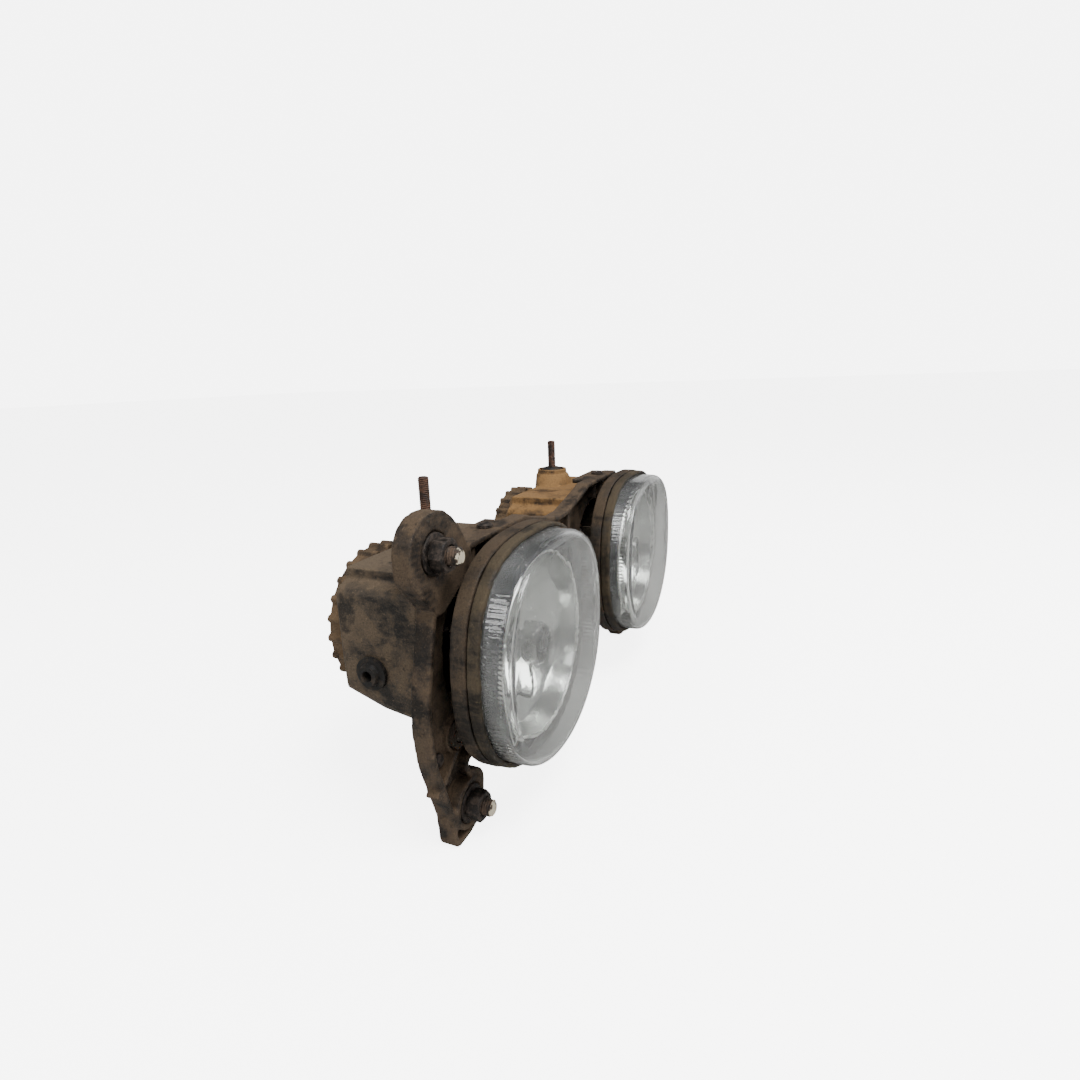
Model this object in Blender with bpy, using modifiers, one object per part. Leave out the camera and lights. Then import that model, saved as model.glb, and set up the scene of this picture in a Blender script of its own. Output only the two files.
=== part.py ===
"""Twin fog light: two tilting lamp units in one moulded carrier.

Frame, in metres: +X to the viewer's right when facing the lenses, +Y backwards, away from the
light's beam, +Z up. The origin lies midway between the lamps, at lens-centre height, in the
plane of the mounting ears' faces. Both lamps are the same unit, so a lamp's own sizes are
measured from its lens centre.
"""

import math

import bmesh
import bpy
from mathutils import Matrix, Vector

MM = 0.001
GAP = 0.3 * MM  # between pieces that touch on the real object

# Lamps
LAMP_PITCH = 170 * MM
LAMPS = {"left": -LAMP_PITCH / 2, "right": LAMP_PITCH / 2}
OUTLINE_STEPS = 28
HOUSING_BACK_Y = 59 * MM  # the housing's flat back, before the cap's neck

# Lens ring: the oval frame that holds the lens and the reflector
RING_HALF_WIDTH = 61 * MM
RING_HALF_HEIGHT = 58 * MM
TOP_SQUARENESS = 2.7
BOTTOM_SQUARENESS = 2.08
RING_FRONT_Y = -19.7 * MM
RING_BACK_Y = -7 * MM
RING_WALL = 2.7 * MM
RING_CHAMFER = 0.7 * MM
LEDGE_FRONT_Y = -13 * MM
LEDGE_WALL = 3 * MM
LEDGE_DEPTH = 8.5 * MM

# Lens
LENS_WALL = 2.8 * MM
LENS_SKIRT = 4 * MM  # hidden in the ring
LENS_RISE = 13.5 * MM  # from the ring's front to the front face's edge
LENS_ROUND = 5 * MM
LENS_DRAFT = 0.4 * MM  # how far the side draws in up to the rounded edge
LENS_CROWN = 2.5 * MM
LENS_CROWN_SHARE = 0.55  # where the crown's middle row lies, from centre to edge

# Reflector
FOCAL_LENGTH = 20 * MM
BOWL_RADIUS = 40 * MM
SHEET = 2.2 * MM
NECK_RADIUS = 9.5 * MM
NECK_BACK_Y = 16 * MM

# Tilting: ball studs on the reflector turn in sockets in the carrier
PIVOT_X = 42.2 * MM
PIVOT_Y = 4 * MM
PIVOT_Z = -30.3 * MM
BALL_RADIUS = 4 * MM
STUD_RADIUS = 2.3 * MM
LUG_RADIUS = 4.6 * MM
SOCKET_RADIUS = 6.5 * MM
SOCKET_FRONT_Y = 2 * MM

# Aiming spindle and its nut
SPINDLE_X = 10.5 * MM
SPINDLE_Y = HOUSING_BACK_Y - 11.6 * MM
SPINDLE_RADIUS = 3 * MM
SPINDLE_TOP_Z = 78.4 * MM
SPINDLE_BOTTOM_Z = 14 * MM
NUT_Z = 23 * MM
NUT_WIDTH = 9 * MM
NUT_HEIGHT = 8 * MM
NUT_PIN_RADIUS = 2.5 * MM
NUT_PIN_TIP = 8 * MM  # from the spindle's axis
CHEEK_INNER = 5.3 * MM  # from the spindle's axis
CHEEK_WALL = 2.2 * MM
CHEEK_HEIGHT = 12 * MM
BRIDGE_WALL = 2.4 * MM
SLOT_AHEAD = 3 * MM  # room in front of the pin as the lamp tilts
CHEEK_BACK_Y = SPINDLE_Y + 6.6 * MM
CHEEK_FRONT_Y = -2 * MM  # inside the bowl's wall

# Bulb, its base and the spring clip
BULB_RADIUS = 4.5 * MM
BULB_TIP_Y = -17 * MM
BASE_FLANGE_RADIUS = 12 * MM
BASE_FLANGE_WALL = 1.6 * MM
BASE_BODY_RADIUS = 7.5 * MM
BASE_BACK_Y = 28 * MM
SOCKET_DEPTH = 6 * MM
CLIP_WIRE = 0.8 * MM
CLIP_HALF_WIDTH = 9.6 * MM
CLIP_PIVOT_Z = 15 * MM
CLIP_BORE_REACH = 9 * MM
CLIP_FOOT_Z = -14.8 * MM

# Glare shield in front of the bulb
SHIELD_RADIUS = 10.5 * MM
SHIELD_WALL = 0.8 * MM
SHIELD_FRONT_Y = -20.5 * MM
SHIELD_BACK_Y = -11 * MM
STALK_WIDTH = 3 * MM
STALK_REACH = 30 * MM

# Carrier: a shallow tray, open to the front
TRAY_FRONT_Y = 1 * MM
TRAY_BACK_Y = 10 * MM
TRAY_WALL = 3 * MM
EAR_FACE_Y = 0 * MM
EAR_BACK_Y = 9 * MM
APERTURE_HALF_WIDTH = 44 * MM
APERTURE_HALF_HEIGHT = 40 * MM
RIB_WALL = 2.5 * MM
MIDDLE_RIB_X = 13 * MM
MIDDLE_RIB_LOW_Z = -40.5 * MM
MIDDLE_RIB_HIGH_Z = 42.5 * MM
PEG_RADIUS = 2.6 * MM
PEG_FRONT_Y = 4.5 * MM
TAB_TOP_Z = 55.3 * MM
TAB_LEFT = -21 * MM
TAB_RIGHT = 22 * MM
TAB_BACK_Y = 19 * MM
TAB_WALL = 3 * MM
TAB_RIB_LOW_Z = 42 * MM

# Mounting bolts (M8), from each lamp's centre: lamp, x, z
BOLT_RADIUS = 4 * MM
BOLT_TIP_Y = -12 * MM
BOLT_SPOTS = {
    "upper_left": ("left", -53.5 * MM, 58.5 * MM),
    "lower_left": ("left", -40.5 * MM, -67.5 * MM),
    "upper_right": ("right", RING_HALF_WIDTH + 13 * MM, 25 * MM),
    "lower_right": ("right", 40.5 * MM, -67.5 * MM),
}
# Ears round the upper bolts: x, z and corner radius in mm, from the bolt
UPPER_LEFT_EAR = [(-17.5, 17.5, 16), (9.5, 17.5, 16), (20, 7, 14)]
UPPER_LEFT_EAR += [(31.5, -12, 6), (0.5, -28.5, 7), (-17.5, -8.5, 12)]
UPPER_RIGHT_EAR = [(-18, 19, 6), (2, 18, 12), (17, 5, 13), (12, -16, 13), (-16, -21, 6)]
HEX_RADIUS = 7.5 * MM  # across corners / 2
BOLT_HEAD = 5.3 * MM
NUT_THICKNESS = 6.5 * MM
WASHER_RADIUS = 9 * MM
WASHER_WALL = 1.6 * MM
RECESS_DEPTH = 1.5 * MM
RECESS_RADIUS = WASHER_RADIUS + 0.6 * MM
BOSS_RADIUS = 12.5 * MM

# Rear housing
HOUSING_WALL = 2.5 * MM
HOUSING_SHOULDER_Y = HOUSING_BACK_Y - 5 * MM
SHOULDER_INSET = 5 * MM
HOUSING_HALF_WIDTH = 54 * MM
HOUSING_TOP_Z = 46 * MM
HOUSING_STEP_Z = 39 * MM
FLOOR_FRONT_Z = -40.5 * MM
FLOOR_BACK_Z = -34 * MM
FLOOR_HALF_WIDTH = 30 * MM
STEP_WIDTH = 8 * MM
CORNER_FRONT_Z = -21 * MM
CORNER_BACK_Z = -10 * MM
DOME_RADIUS = 12 * MM
DOME_FOOT_HALF_WIDTH = 25 * MM
DOME_FOOT_HALF_DEPTH = 15 * MM
DOME_TOP_Z = 54 * MM
CUP_TOP_Z = 57.8 * MM
CUP_RADIUS = 11 * MM
BUSH_RADIUS = 9 * MM
BUSH_TOP_Z = 59 * MM
COLLAR_RADIUS = 6.5 * MM
COLLAR_WALL = 1.8 * MM
LUG_SPOT_X = 55 * MM
LUG_SPOT_Z = -37 * MM
SMALL_SCREW_RADIUS = 2 * MM
HOUSING_SCREW_HEAD = 3.2 * MM
TAB_SCREW_HEAD = 4 * MM
TAB_SCREW_X = 4.5 * MM
TAB_SCREW_Y = 9.3 * MM
TONGUE_HALF_WIDTH = 7 * MM

# Cable inlet in the housing's side wall
INLET_Y = HOUSING_BACK_Y - 21 * MM
INLET_Z = 0 * MM
INLET_HOLE = 5.8 * MM
INLET_FLANGE = 8 * MM
CABLE_BORE = 2.6 * MM

# Screw cap on the housing's neck
CAP_Z = 4.5 * MM
NECK_OUTER = 35.2 * MM
NECK_WALL = 3 * MM
NECK_END_Y = HOUSING_BACK_Y + 12 * MM
CAP_RADIUS = 37.2 * MM
CAP_FRONT_Y = HOUSING_BACK_Y + 5.5 * MM
CAP_BACK_Y = HOUSING_BACK_Y + 18.5 * MM
CAP_FLOOR = 2.6 * MM
CAP_LUGS = 24
CAP_LUG_RADIUS = 2.1 * MM
HUB_RADIUS = 13 * MM
HUB_HEIGHT = 1 * MM
SEAL_WIDTH = 3.4 * MM


# ---- helpers: scene and materials -------------------------------------------------------


def clear_scene():
    """Removes what the file starts with."""
    for obj in list(bpy.data.objects):
        bpy.data.objects.remove(obj)


def new_collection(name):
    collection = bpy.data.collections.new(name)
    bpy.context.scene.collection.children.link(collection)
    return collection


def material(name, color, roughness, metallic=0.0, alpha=1.0):
    """One Principled material."""
    result = bpy.data.materials.new(name)
    result.use_nodes = True
    shader = result.node_tree.nodes["Principled BSDF"]
    shader.inputs["Base Color"].default_value = (*color, 1.0)
    shader.inputs["Roughness"].default_value = roughness
    shader.inputs["Metallic"].default_value = metallic
    shader.inputs["Alpha"].default_value = alpha
    result.diffuse_color = (*color, alpha)
    return result


# ---- helpers: shapes --------------------------------------------------------------------


def draft(mesh):
    """A working object, which a later step consumes."""
    obj = bpy.data.objects.new("draft", mesh)
    WORKSHOP.objects.link(obj)
    return obj


def bake(obj):
    """The object's mesh with its modifiers applied, in world space. The object goes."""
    bpy.context.view_layer.update()
    graph = bpy.context.evaluated_depsgraph_get()
    mesh = bpy.data.meshes.new_from_object(obj.evaluated_get(graph))
    mesh.transform(obj.matrix_world)
    bpy.data.objects.remove(obj)
    return mesh


def draft_from(bm, recalculate=True):
    """A working object from a bmesh, with its faces turned outwards."""
    if recalculate:
        bmesh.ops.recalc_face_normals(bm, faces=bm.faces)
    mesh = bpy.data.meshes.new("draft")
    bm.to_mesh(mesh)
    bm.free()
    return draft(mesh)


def combine(first, second, operation):
    """The Boolean of two working objects, as one working object."""
    modifier = first.modifiers.new("boolean", "BOOLEAN")
    modifier.operation = operation
    modifier.object = second
    mesh = bake(first)
    bpy.data.objects.remove(second)
    return draft(mesh)


def joined(first, *others):
    for other in others:
        first = combine(first, other, "UNION")
    return first


def cut(first, *cutters):
    for cutter in cutters:
        first = combine(first, cutter, "DIFFERENCE")
    return first


def block(low, high):
    """A box between two corners."""
    low, high = Vector(low), Vector(high)
    bm = bmesh.new()
    bmesh.ops.create_cube(bm, size=1)
    bmesh.ops.scale(bm, vec=high - low, verts=bm.verts)
    bmesh.ops.translate(bm, vec=(low + high) / 2, verts=bm.verts)
    return draft_from(bm)


def rod(radius, start, end, sides=24, end_radius=None, turn=0.0):
    """A cylinder, cone or prism between two points, with flat caps."""
    start, end = Vector(start), Vector(end)
    bm = bmesh.new()
    bmesh.ops.create_cone(
        bm,
        cap_ends=True,
        segments=sides,
        radius1=radius,
        radius2=radius if end_radius is None else end_radius,
        depth=(end - start).length,
    )
    spin = Matrix.Rotation(turn, 4, "Z")
    aim = (end - start).to_track_quat("Z", "Y").to_matrix().to_4x4()
    bmesh.ops.transform(bm, matrix=Matrix.Translation((start + end) / 2) @ aim @ spin, verts=bm.verts)
    return draft_from(bm)


def ball(radius, centre, segments=12, rings=6):
    bm = bmesh.new()
    bmesh.ops.create_uvsphere(bm, u_segments=segments, v_segments=rings, radius=radius)
    bmesh.ops.translate(bm, vec=centre, verts=bm.verts)
    return draft_from(bm)


TO_AXIS = {
    "Z": Matrix.Identity(4),
    "Y": Matrix.Rotation(-math.pi / 2, 4, "X"),
    "X": Matrix.Rotation(math.pi / 2, 4, "Y"),
}


def turned(profile, axis="Y", steps=32, ring=True):
    """A turned piece: (radius, height) points down the outer side, then up the inner side.

    A ring's profile closes on itself. A solid's profile starts and ends on the axis.
    """
    bm = bmesh.new()
    points = [bm.verts.new((radius, 0, height)) for radius, height in profile]
    for start, end in zip(points, points[1:]):
        bm.edges.new((start, end))
    if ring:
        bm.edges.new((points[-1], points[0]))
    obj = draft_from(bm, recalculate=False)
    screw = obj.modifiers.new("turn", "SCREW")
    screw.steps = steps
    screw.render_steps = steps
    screw.use_merge_vertices = True
    screw.merge_threshold = 0.00001
    mesh = bake(obj)
    mesh.transform(TO_AXIS[axis])
    return draft(mesh)


def plate(outline, front_y, back_y):
    """A flat outline of (x, z) points, as thick as the two planes are apart."""
    curve = bpy.data.curves.new("draft", "CURVE")
    curve.dimensions = "2D"
    curve.fill_mode = "BOTH"
    curve.extrude = (back_y - front_y) / 2
    spline = curve.splines.new("POLY")
    spline.points.add(len(outline) - 1)
    for point, (x, z) in zip(spline.points, outline):
        point.co = (x, z, 0, 1)
    spline.use_cyclic_u = True
    obj = draft(curve)
    obj.matrix_world = Matrix.Translation((0, (front_y + back_y) / 2, 0)) @ Matrix.Rotation(
        math.pi / 2, 4, "X"
    )
    mesh = bake(obj)
    bm = bmesh.new()
    bm.from_mesh(mesh)
    bmesh.ops.remove_doubles(bm, verts=bm.verts, dist=0.000001)
    return draft_from(bm)


def rounded(corners, step_angle=math.radians(24)):
    """An outline through (x, z, radius) corners, each rounded by an arc."""
    points = []
    count = len(corners)
    for index, (x, z, radius) in enumerate(corners):
        here = Vector((x, z))
        before = (Vector(corners[index - 1][:2]) - here).normalized()
        after = (Vector(corners[(index + 1) % count][:2]) - here).normalized()
        half = before.angle(after) / 2
        if radius == 0 or half > math.radians(89):
            points.append((x, z))
            continue
        centre = here + (before + after).normalized() * radius / math.sin(half)
        start = here + before * radius / math.tan(half) - centre
        sweep = start.angle_signed(here + after * radius / math.tan(half) - centre)
        steps = max(1, round(abs(sweep) / step_angle))
        for step in range(steps + 1):
            spun = start.copy()
            spun.rotate(Matrix.Rotation(-sweep * step / steps, 2))
            points.append(tuple(centre + spun))
    return points


def oval(half_width, half_height, steps=OUTLINE_STEPS):
    """The lamp's outline: a superellipse, squarer above than below."""
    points = []
    for step in range(steps):
        angle = 2 * math.pi * step / steps
        c, s = math.cos(angle), math.sin(angle)
        power = 2 / (TOP_SQUARENESS if s > 0 else BOTTOM_SQUARENESS)
        x = half_width * math.copysign(abs(c) ** power, c)
        z = half_height * math.copysign(abs(s) ** power, s)
        points.append((x, z))
    return points


def ring_oval(inset):
    """The lens ring's outer outline, drawn in by an inset."""
    return oval(RING_HALF_WIDTH - inset, RING_HALF_HEIGHT - inset)


def circle(radius, steps=OUTLINE_STEPS):
    angles = [2 * math.pi * step / steps for step in range(steps)]
    return [(radius * math.cos(a), radius * math.sin(a)) for a in angles]


def loft(sections, closed=False, tip=None, caps=False):
    """Faces between (outline, y) sections of equal count, optionally to a tip or round a loop."""
    bm = bmesh.new()
    rows = [[bm.verts.new((x, y, z)) for x, z in outline] for outline, y in sections]
    pairs = list(zip(rows, rows[1:]))
    if closed:
        pairs.append((rows[-1], rows[0]))
    for first, second in pairs:
        for index in range(len(first)):
            bm.faces.new((first[index - 1], first[index], second[index], second[index - 1]))
    if tip is not None:
        point = bm.verts.new((0, tip, 0))
        for index in range(len(rows[-1])):
            bm.faces.new((rows[-1][index - 1], rows[-1][index], point))
    if caps:
        bm.faces.new(rows[0])
        bm.faces.new(rows[-1])
    return draft_from(bm)


def band(section):
    """An oval ring whose closed cross-section is given as (inset, y) points."""
    return loft([(ring_oval(inset), y) for inset, y in section], closed=True)


def thickened(obj, wall, offset):
    """An open surface made a shell, on the side that its offset says."""
    solidify = obj.modifiers.new("shell", "SOLIDIFY")
    solidify.thickness = wall
    solidify.offset = offset
    solidify.use_even_offset = True
    return draft(bake(obj))


def shifted(obj, x=0.0, y=0.0, z=0.0):
    obj.data.transform(Matrix.Translation((x, y, z)))
    return obj


def keep(name, shape, finish, parent=None):
    """Turns a working object into a named piece of the light."""
    mesh = bake(shape) if isinstance(shape, bpy.types.Object) else shape
    mesh.name = name
    mesh.materials.clear()
    mesh.materials.append(finish)
    mesh.shade_smooth()
    mesh.set_sharp_from_angle(angle=math.radians(35))
    obj = bpy.data.objects.new(name, mesh)
    FOG_LIGHT.objects.link(obj)
    if parent:
        obj.parent = parent
        obj.matrix_parent_inverse = Matrix.Translation(parent.location).inverted()
    return obj


def keep_pair(name, shape, finish, axes=None):
    """The same piece for each lamp, as two objects with one mesh."""
    mesh = bake(shape)
    for side, x in LAMPS.items():
        obj = keep(f"{name}_{side}", mesh, finish, axes[side] if axes else None)
        obj.location.x = x


def joint_axes(name, x, y, z, parents=None):
    """An empty on each lamp's joint axis."""
    empties = {}
    for side, lamp_x in LAMPS.items():
        empty = bpy.data.objects.new(f"{name}_{side}", None)
        empty.location = (lamp_x + x, y, z)
        FOG_LIGHT.objects.link(empty)
        if parents:
            empty.parent = parents[side]
            empty.matrix_parent_inverse = Matrix.Translation(parents[side].location).inverted()
        empties[side] = empty
    return empties


# ---- lamp unit: lens, ring, reflector, bulb -------------------------------------------------


def bowl_y(radius):
    """The reflecting surface's depth at a radius: a paraboloid whose rim meets the flat band."""
    rim_y = LEDGE_FRONT_Y + LEDGE_WALL + GAP
    return rim_y + (BOWL_RADIUS**2 - radius**2) / (4 * FOCAL_LENGTH)


def lens():
    """A clear cover: a straight skirt, a rounded edge and a slightly crowned front."""
    inset = RING_WALL + GAP
    edge_y = RING_FRONT_Y - LENS_RISE + LENS_ROUND
    sections = [(ring_oval(inset), RING_FRONT_Y + LENS_SKIRT), (ring_oval(inset + LENS_DRAFT), edge_y)]
    for degrees in (30, 60, 90):
        angle = math.radians(degrees)
        in_by = inset + LENS_DRAFT + LENS_ROUND * (1 - math.cos(angle))
        sections.append((ring_oval(in_by), edge_y - LENS_ROUND * math.sin(angle)))
    front_inset = inset + LENS_DRAFT + LENS_ROUND
    front_y = RING_FRONT_Y - LENS_RISE
    width = (RING_HALF_WIDTH - front_inset) * LENS_CROWN_SHARE
    height = (RING_HALF_HEIGHT - front_inset) * LENS_CROWN_SHARE
    sections.append((oval(width, height), front_y - LENS_CROWN * (1 - LENS_CROWN_SHARE**2)))
    surface = loft(sections, tip=front_y - LENS_CROWN)
    return thickened(surface, LENS_WALL, inner_offset(surface))


def inner_offset(surface):
    """The Solidify offset that grows an open lamp surface backwards and inwards."""
    front = min(surface.data.polygons, key=lambda face: face.center.y)
    return -1 if front.normal.y < 0 else 1


def lens_seal():
    """A rubber ring between the lens's skirt and the lens ring's ledge."""
    outer, inner = RING_WALL + GAP, RING_WALL + GAP + LENS_WALL + 0.8 * MM
    front_y = RING_FRONT_Y + LENS_SKIRT + GAP
    back_y = LEDGE_FRONT_Y - GAP
    return band([(outer, front_y), (outer, back_y), (inner, back_y), (inner, front_y)])


def lens_ring():
    """The ring's outer wall with an inward ledge."""
    ledge_back_y = LEDGE_FRONT_Y + LEDGE_WALL
    section = [
        (RING_CHAMFER, RING_FRONT_Y),
        (0, RING_FRONT_Y + RING_CHAMFER),
        (0, RING_BACK_Y - RING_CHAMFER),
        (RING_CHAMFER, RING_BACK_Y),
        (RING_WALL, RING_BACK_Y),
        (RING_WALL, ledge_back_y),
        (LEDGE_DEPTH, ledge_back_y),
        (LEDGE_DEPTH, LEDGE_FRONT_Y),
        (RING_WALL, LEDGE_FRONT_Y),
        (RING_WALL, RING_FRONT_Y),
    ]
    return band(section)


def cheek(side):
    """One plate of the fork that carries the aiming nut, with its open slot."""
    inner = SPINDLE_X + side * CHEEK_INNER
    outer = SPINDLE_X + side * (CHEEK_INNER + CHEEK_WALL)
    low_x, high_x = min(inner, outer), max(inner, outer)
    low_z, high_z = NUT_Z - CHEEK_HEIGHT / 2, NUT_Z + CHEEK_HEIGHT / 2
    body = block((low_x, CHEEK_FRONT_Y, low_z), (high_x, CHEEK_BACK_Y, high_z))
    room = NUT_PIN_RADIUS + GAP
    slot = block(
        (low_x - MM, SPINDLE_Y - room - SLOT_AHEAD, NUT_Z - room),
        (high_x + MM, CHEEK_BACK_Y + MM, NUT_Z + room),
    )
    return cut(body, slot)


def clip_ear(side):
    """A lug on the neck with the bore that a leg of the clip turns in."""
    low_x, high_x = sorted((side * 3 * MM, side * 6 * MM))
    top_z = CLIP_PIVOT_Z + CLIP_WIRE + 1.7 * MM
    clear_z = BASE_FLANGE_RADIUS + 2 * GAP
    foot = block((low_x, NECK_BACK_Y - 5 * MM, NECK_RADIUS + 0.5 * MM), (high_x, NECK_BACK_Y, top_z))
    lug = block((low_x, NECK_BACK_Y - MM, clear_z), (high_x, clip_y() + 2.3 * MM, top_z))
    return foot, lug


def clip_y():
    """The clip's plane, just behind the bulb's flange."""
    return NECK_BACK_Y + GAP + BASE_FLANGE_WALL + GAP + CLIP_WIRE


def clip_rest():
    """The notched post that the clip's foot rests in."""
    foot_z = CLIP_FOOT_Z
    notch = CLIP_WIRE + GAP
    foot = block(
        (-2 * MM, NECK_BACK_Y - 4 * MM, foot_z - 3 * MM),
        (2 * MM, NECK_BACK_Y, -NECK_RADIUS - 0.5 * MM),
    )
    post = block(
        (-2 * MM, NECK_BACK_Y - MM, foot_z - 3 * MM),
        (2 * MM, clip_y() + notch + MM, foot_z - notch),
    )
    return foot, post


def reflector():
    """Flat band, bowl and neck as one shell, with ball studs, fork and clip ears."""
    rim_y = bowl_y(BOWL_RADIUS)
    sections = [(ring_oval(RING_WALL + GAP), rim_y), (circle(BOWL_RADIUS), rim_y)]
    for radius in (33 * MM, 25 * MM, 17 * MM, NECK_RADIUS):
        sections.append((circle(radius), bowl_y(radius)))
    sections.append((circle(NECK_RADIUS), NECK_BACK_Y))
    surface = loft(sections)
    shell = thickened(surface, SHEET, inner_offset(surface))
    fork = joined(cheek(-1), cheek(1))
    bridge_z = NUT_Z + CHEEK_HEIGHT / 2
    reach = CHEEK_INNER + CHEEK_WALL
    bridge = block(
        (SPINDLE_X - reach, CHEEK_FRONT_Y, bridge_z - BRIDGE_WALL),
        (SPINDLE_X + reach, SPINDLE_Y - 10 * MM, bridge_z),
    )
    fork = joined(fork, bridge)
    inside = [(0, bowl_y(0))]
    for radius in (9 * MM, 17 * MM, 25 * MM, 33 * MM, BOWL_RADIUS + MM):
        inside.append((radius, bowl_y(radius) + SHEET * 0.4))
    inside += [(BOWL_RADIUS + MM, rim_y - 2 * MM), (0, rim_y - 2 * MM)]
    fork = cut(fork, turned(inside, steps=24, ring=False))
    body = joined(shell, fork)
    for side in (-1, 1):
        body = joined(body, *clip_ear(side))
    body = joined(body, *clip_rest())
    left_end = (-CLIP_BORE_REACH, clip_y(), CLIP_PIVOT_Z)
    right_end = (CLIP_BORE_REACH, clip_y(), CLIP_PIVOT_Z)
    body = cut(body, rod(CLIP_WIRE + GAP, left_end, right_end, sides=12))
    for x in (-PIVOT_X, PIVOT_X):
        base = (x, rim_y + SHEET / 2, PIVOT_Z)
        tip_y = SOCKET_FRONT_Y - 2.5 * MM
        tip = (x, tip_y, PIVOT_Z)
        centre = (x, PIVOT_Y, PIVOT_Z)
        body = joined(body, rod(LUG_RADIUS, base, tip, 12, LUG_RADIUS * 0.8))
        stud = rod(STUD_RADIUS, (x, tip_y - 2 * MM, PIVOT_Z), centre, 10)
        body = joined(body, stud, ball(BALL_RADIUS, centre))
    return body


def glare_shield():
    """A round cup in front of the bulb, on a bent strip that stands on the bowl."""
    outer, inner = SHIELD_RADIUS, SHIELD_RADIUS - SHIELD_WALL
    floor_y = SHIELD_FRONT_Y + SHIELD_WALL
    cup = turned(
        [(0, SHIELD_BACK_Y), (outer, SHIELD_BACK_Y), (outer, SHIELD_FRONT_Y + MM)]
        + [(outer - MM, SHIELD_FRONT_Y), (0, SHIELD_FRONT_Y)],
        ring=False,
        steps=20,
    )
    hollow = rod(inner, (0, floor_y, 0), (0, SHIELD_BACK_Y + MM, 0), 20)
    strip = block(
        (-STALK_WIDTH / 2, SHIELD_BACK_Y - 2 * MM, -STALK_REACH),
        (STALK_WIDTH / 2, SHIELD_BACK_Y - 2 * MM + SHIELD_WALL, -inner - SHIELD_WALL / 2),
    )
    foot_y = bowl_y(STALK_REACH) - 1.6 * GAP
    foot = block(
        (-STALK_WIDTH / 2, SHIELD_BACK_Y - 2 * MM, -STALK_REACH - SHIELD_WALL / 2),
        (STALK_WIDTH / 2, foot_y, -STALK_REACH + SHIELD_WALL / 2),
    )
    return joined(cut(cup, hollow), strip, foot)


def bulb():
    """The glass capsule, round at its tip, held in the base's socket."""
    back_y = NECK_BACK_Y + GAP + SOCKET_DEPTH - GAP
    profile = [(0, back_y), (BULB_RADIUS, back_y)]
    for degrees in (0, 30, 60):
        angle = math.radians(degrees)
        profile.append(
            (BULB_RADIUS * math.cos(angle), BULB_TIP_Y + BULB_RADIUS * (1 - math.sin(angle)))
        )
    profile.append((0, BULB_TIP_Y))
    return turned(profile, ring=False, steps=16)


def bulb_base():
    """The metal flange and body behind the bulb, with its terminal blade."""
    front_y = NECK_BACK_Y + GAP
    flange_y = front_y + BASE_FLANGE_WALL
    bore = BULB_RADIUS + GAP
    profile = [
        (0, BASE_BACK_Y),
        (BASE_BODY_RADIUS - MM, BASE_BACK_Y),
        (BASE_BODY_RADIUS, BASE_BACK_Y - MM),
        (BASE_BODY_RADIUS, flange_y),
        (BASE_FLANGE_RADIUS, flange_y),
        (BASE_FLANGE_RADIUS, front_y),
        (bore, front_y),
        (bore, front_y + SOCKET_DEPTH),
        (0, front_y + SOCKET_DEPTH),
    ]
    blade = block((-3.2 * MM, BASE_BACK_Y - MM, -0.4 * MM), (3.2 * MM, BASE_BACK_Y + 8 * MM, 0.4 * MM))
    return joined(turned(profile, ring=False, steps=20), blade)


def bulb_clip():
    """A spring-wire bail: its top bar turns in the ears, its foot bar rests in the notch."""
    y = clip_y()
    across = CLIP_HALF_WIDTH
    bend = 1.5 * MM
    route = [(0, CLIP_PIVOT_Z), (across - bend, CLIP_PIVOT_Z), (across, CLIP_PIVOT_Z - bend)]
    route += [(across, CLIP_FOOT_Z + 6 * MM), (3 * MM, CLIP_FOOT_Z)]
    mirrored = [(-x, z) for x, z in reversed(route[1:])]
    curve = bpy.data.curves.new("draft", "CURVE")
    curve.dimensions = "3D"
    curve.bevel_depth = CLIP_WIRE
    curve.bevel_resolution = 2
    spline = curve.splines.new("POLY")
    spline.points.add(len(route + mirrored) - 1)
    for point, (x, z) in zip(spline.points, route + mirrored):
        point.co = (x, y, z, 1)
    spline.use_cyclic_u = True
    return draft(bake(draft(curve)))


# ---- aiming spindle -----------------------------------------------------------------------


def aim_spindle():
    """A threaded rod, chamfered at both ends."""
    chamfer = 0.7 * MM
    profile = [
        (0, SPINDLE_TOP_Z),
        (SPINDLE_RADIUS - chamfer, SPINDLE_TOP_Z),
        (SPINDLE_RADIUS, SPINDLE_TOP_Z - chamfer),
        (SPINDLE_RADIUS, SPINDLE_BOTTOM_Z + chamfer),
        (SPINDLE_RADIUS - chamfer, SPINDLE_BOTTOM_Z),
        (0, SPINDLE_BOTTOM_Z),
    ]
    return shifted(turned(profile, "Z", 16, ring=False), SPINDLE_X, SPINDLE_Y)


def roof_underside_z():
    return HOUSING_TOP_Z - HOUSING_WALL


def spindle_collar():
    """The retaining ring under the housing's roof."""
    inner = SPINDLE_RADIUS + GAP
    top_z = roof_underside_z() - GAP
    low_z = top_z - COLLAR_WALL
    profile = [(COLLAR_RADIUS, top_z), (COLLAR_RADIUS, low_z), (inner, low_z), (inner, top_z)]
    return shifted(turned(profile, "Z", 16), SPINDLE_X, SPINDLE_Y)


def spindle_bush():
    """The rubber bush in the cup, domed round the spindle."""
    inner = SPINDLE_RADIUS + GAP
    low_z = DOME_TOP_Z - MM + GAP
    profile = [
        (inner + 1.6 * MM, BUSH_TOP_Z),
        (inner + 3 * MM, BUSH_TOP_Z - 0.8 * MM),
        (inner + 3.6 * MM, CUP_TOP_Z - MM),
        (BUSH_RADIUS, CUP_TOP_Z - 1.6 * MM),
        (BUSH_RADIUS, low_z),
        (inner, low_z),
        (inner, BUSH_TOP_Z),
    ]
    return shifted(turned(profile, "Z", 20), SPINDLE_X, SPINDLE_Y)


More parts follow.
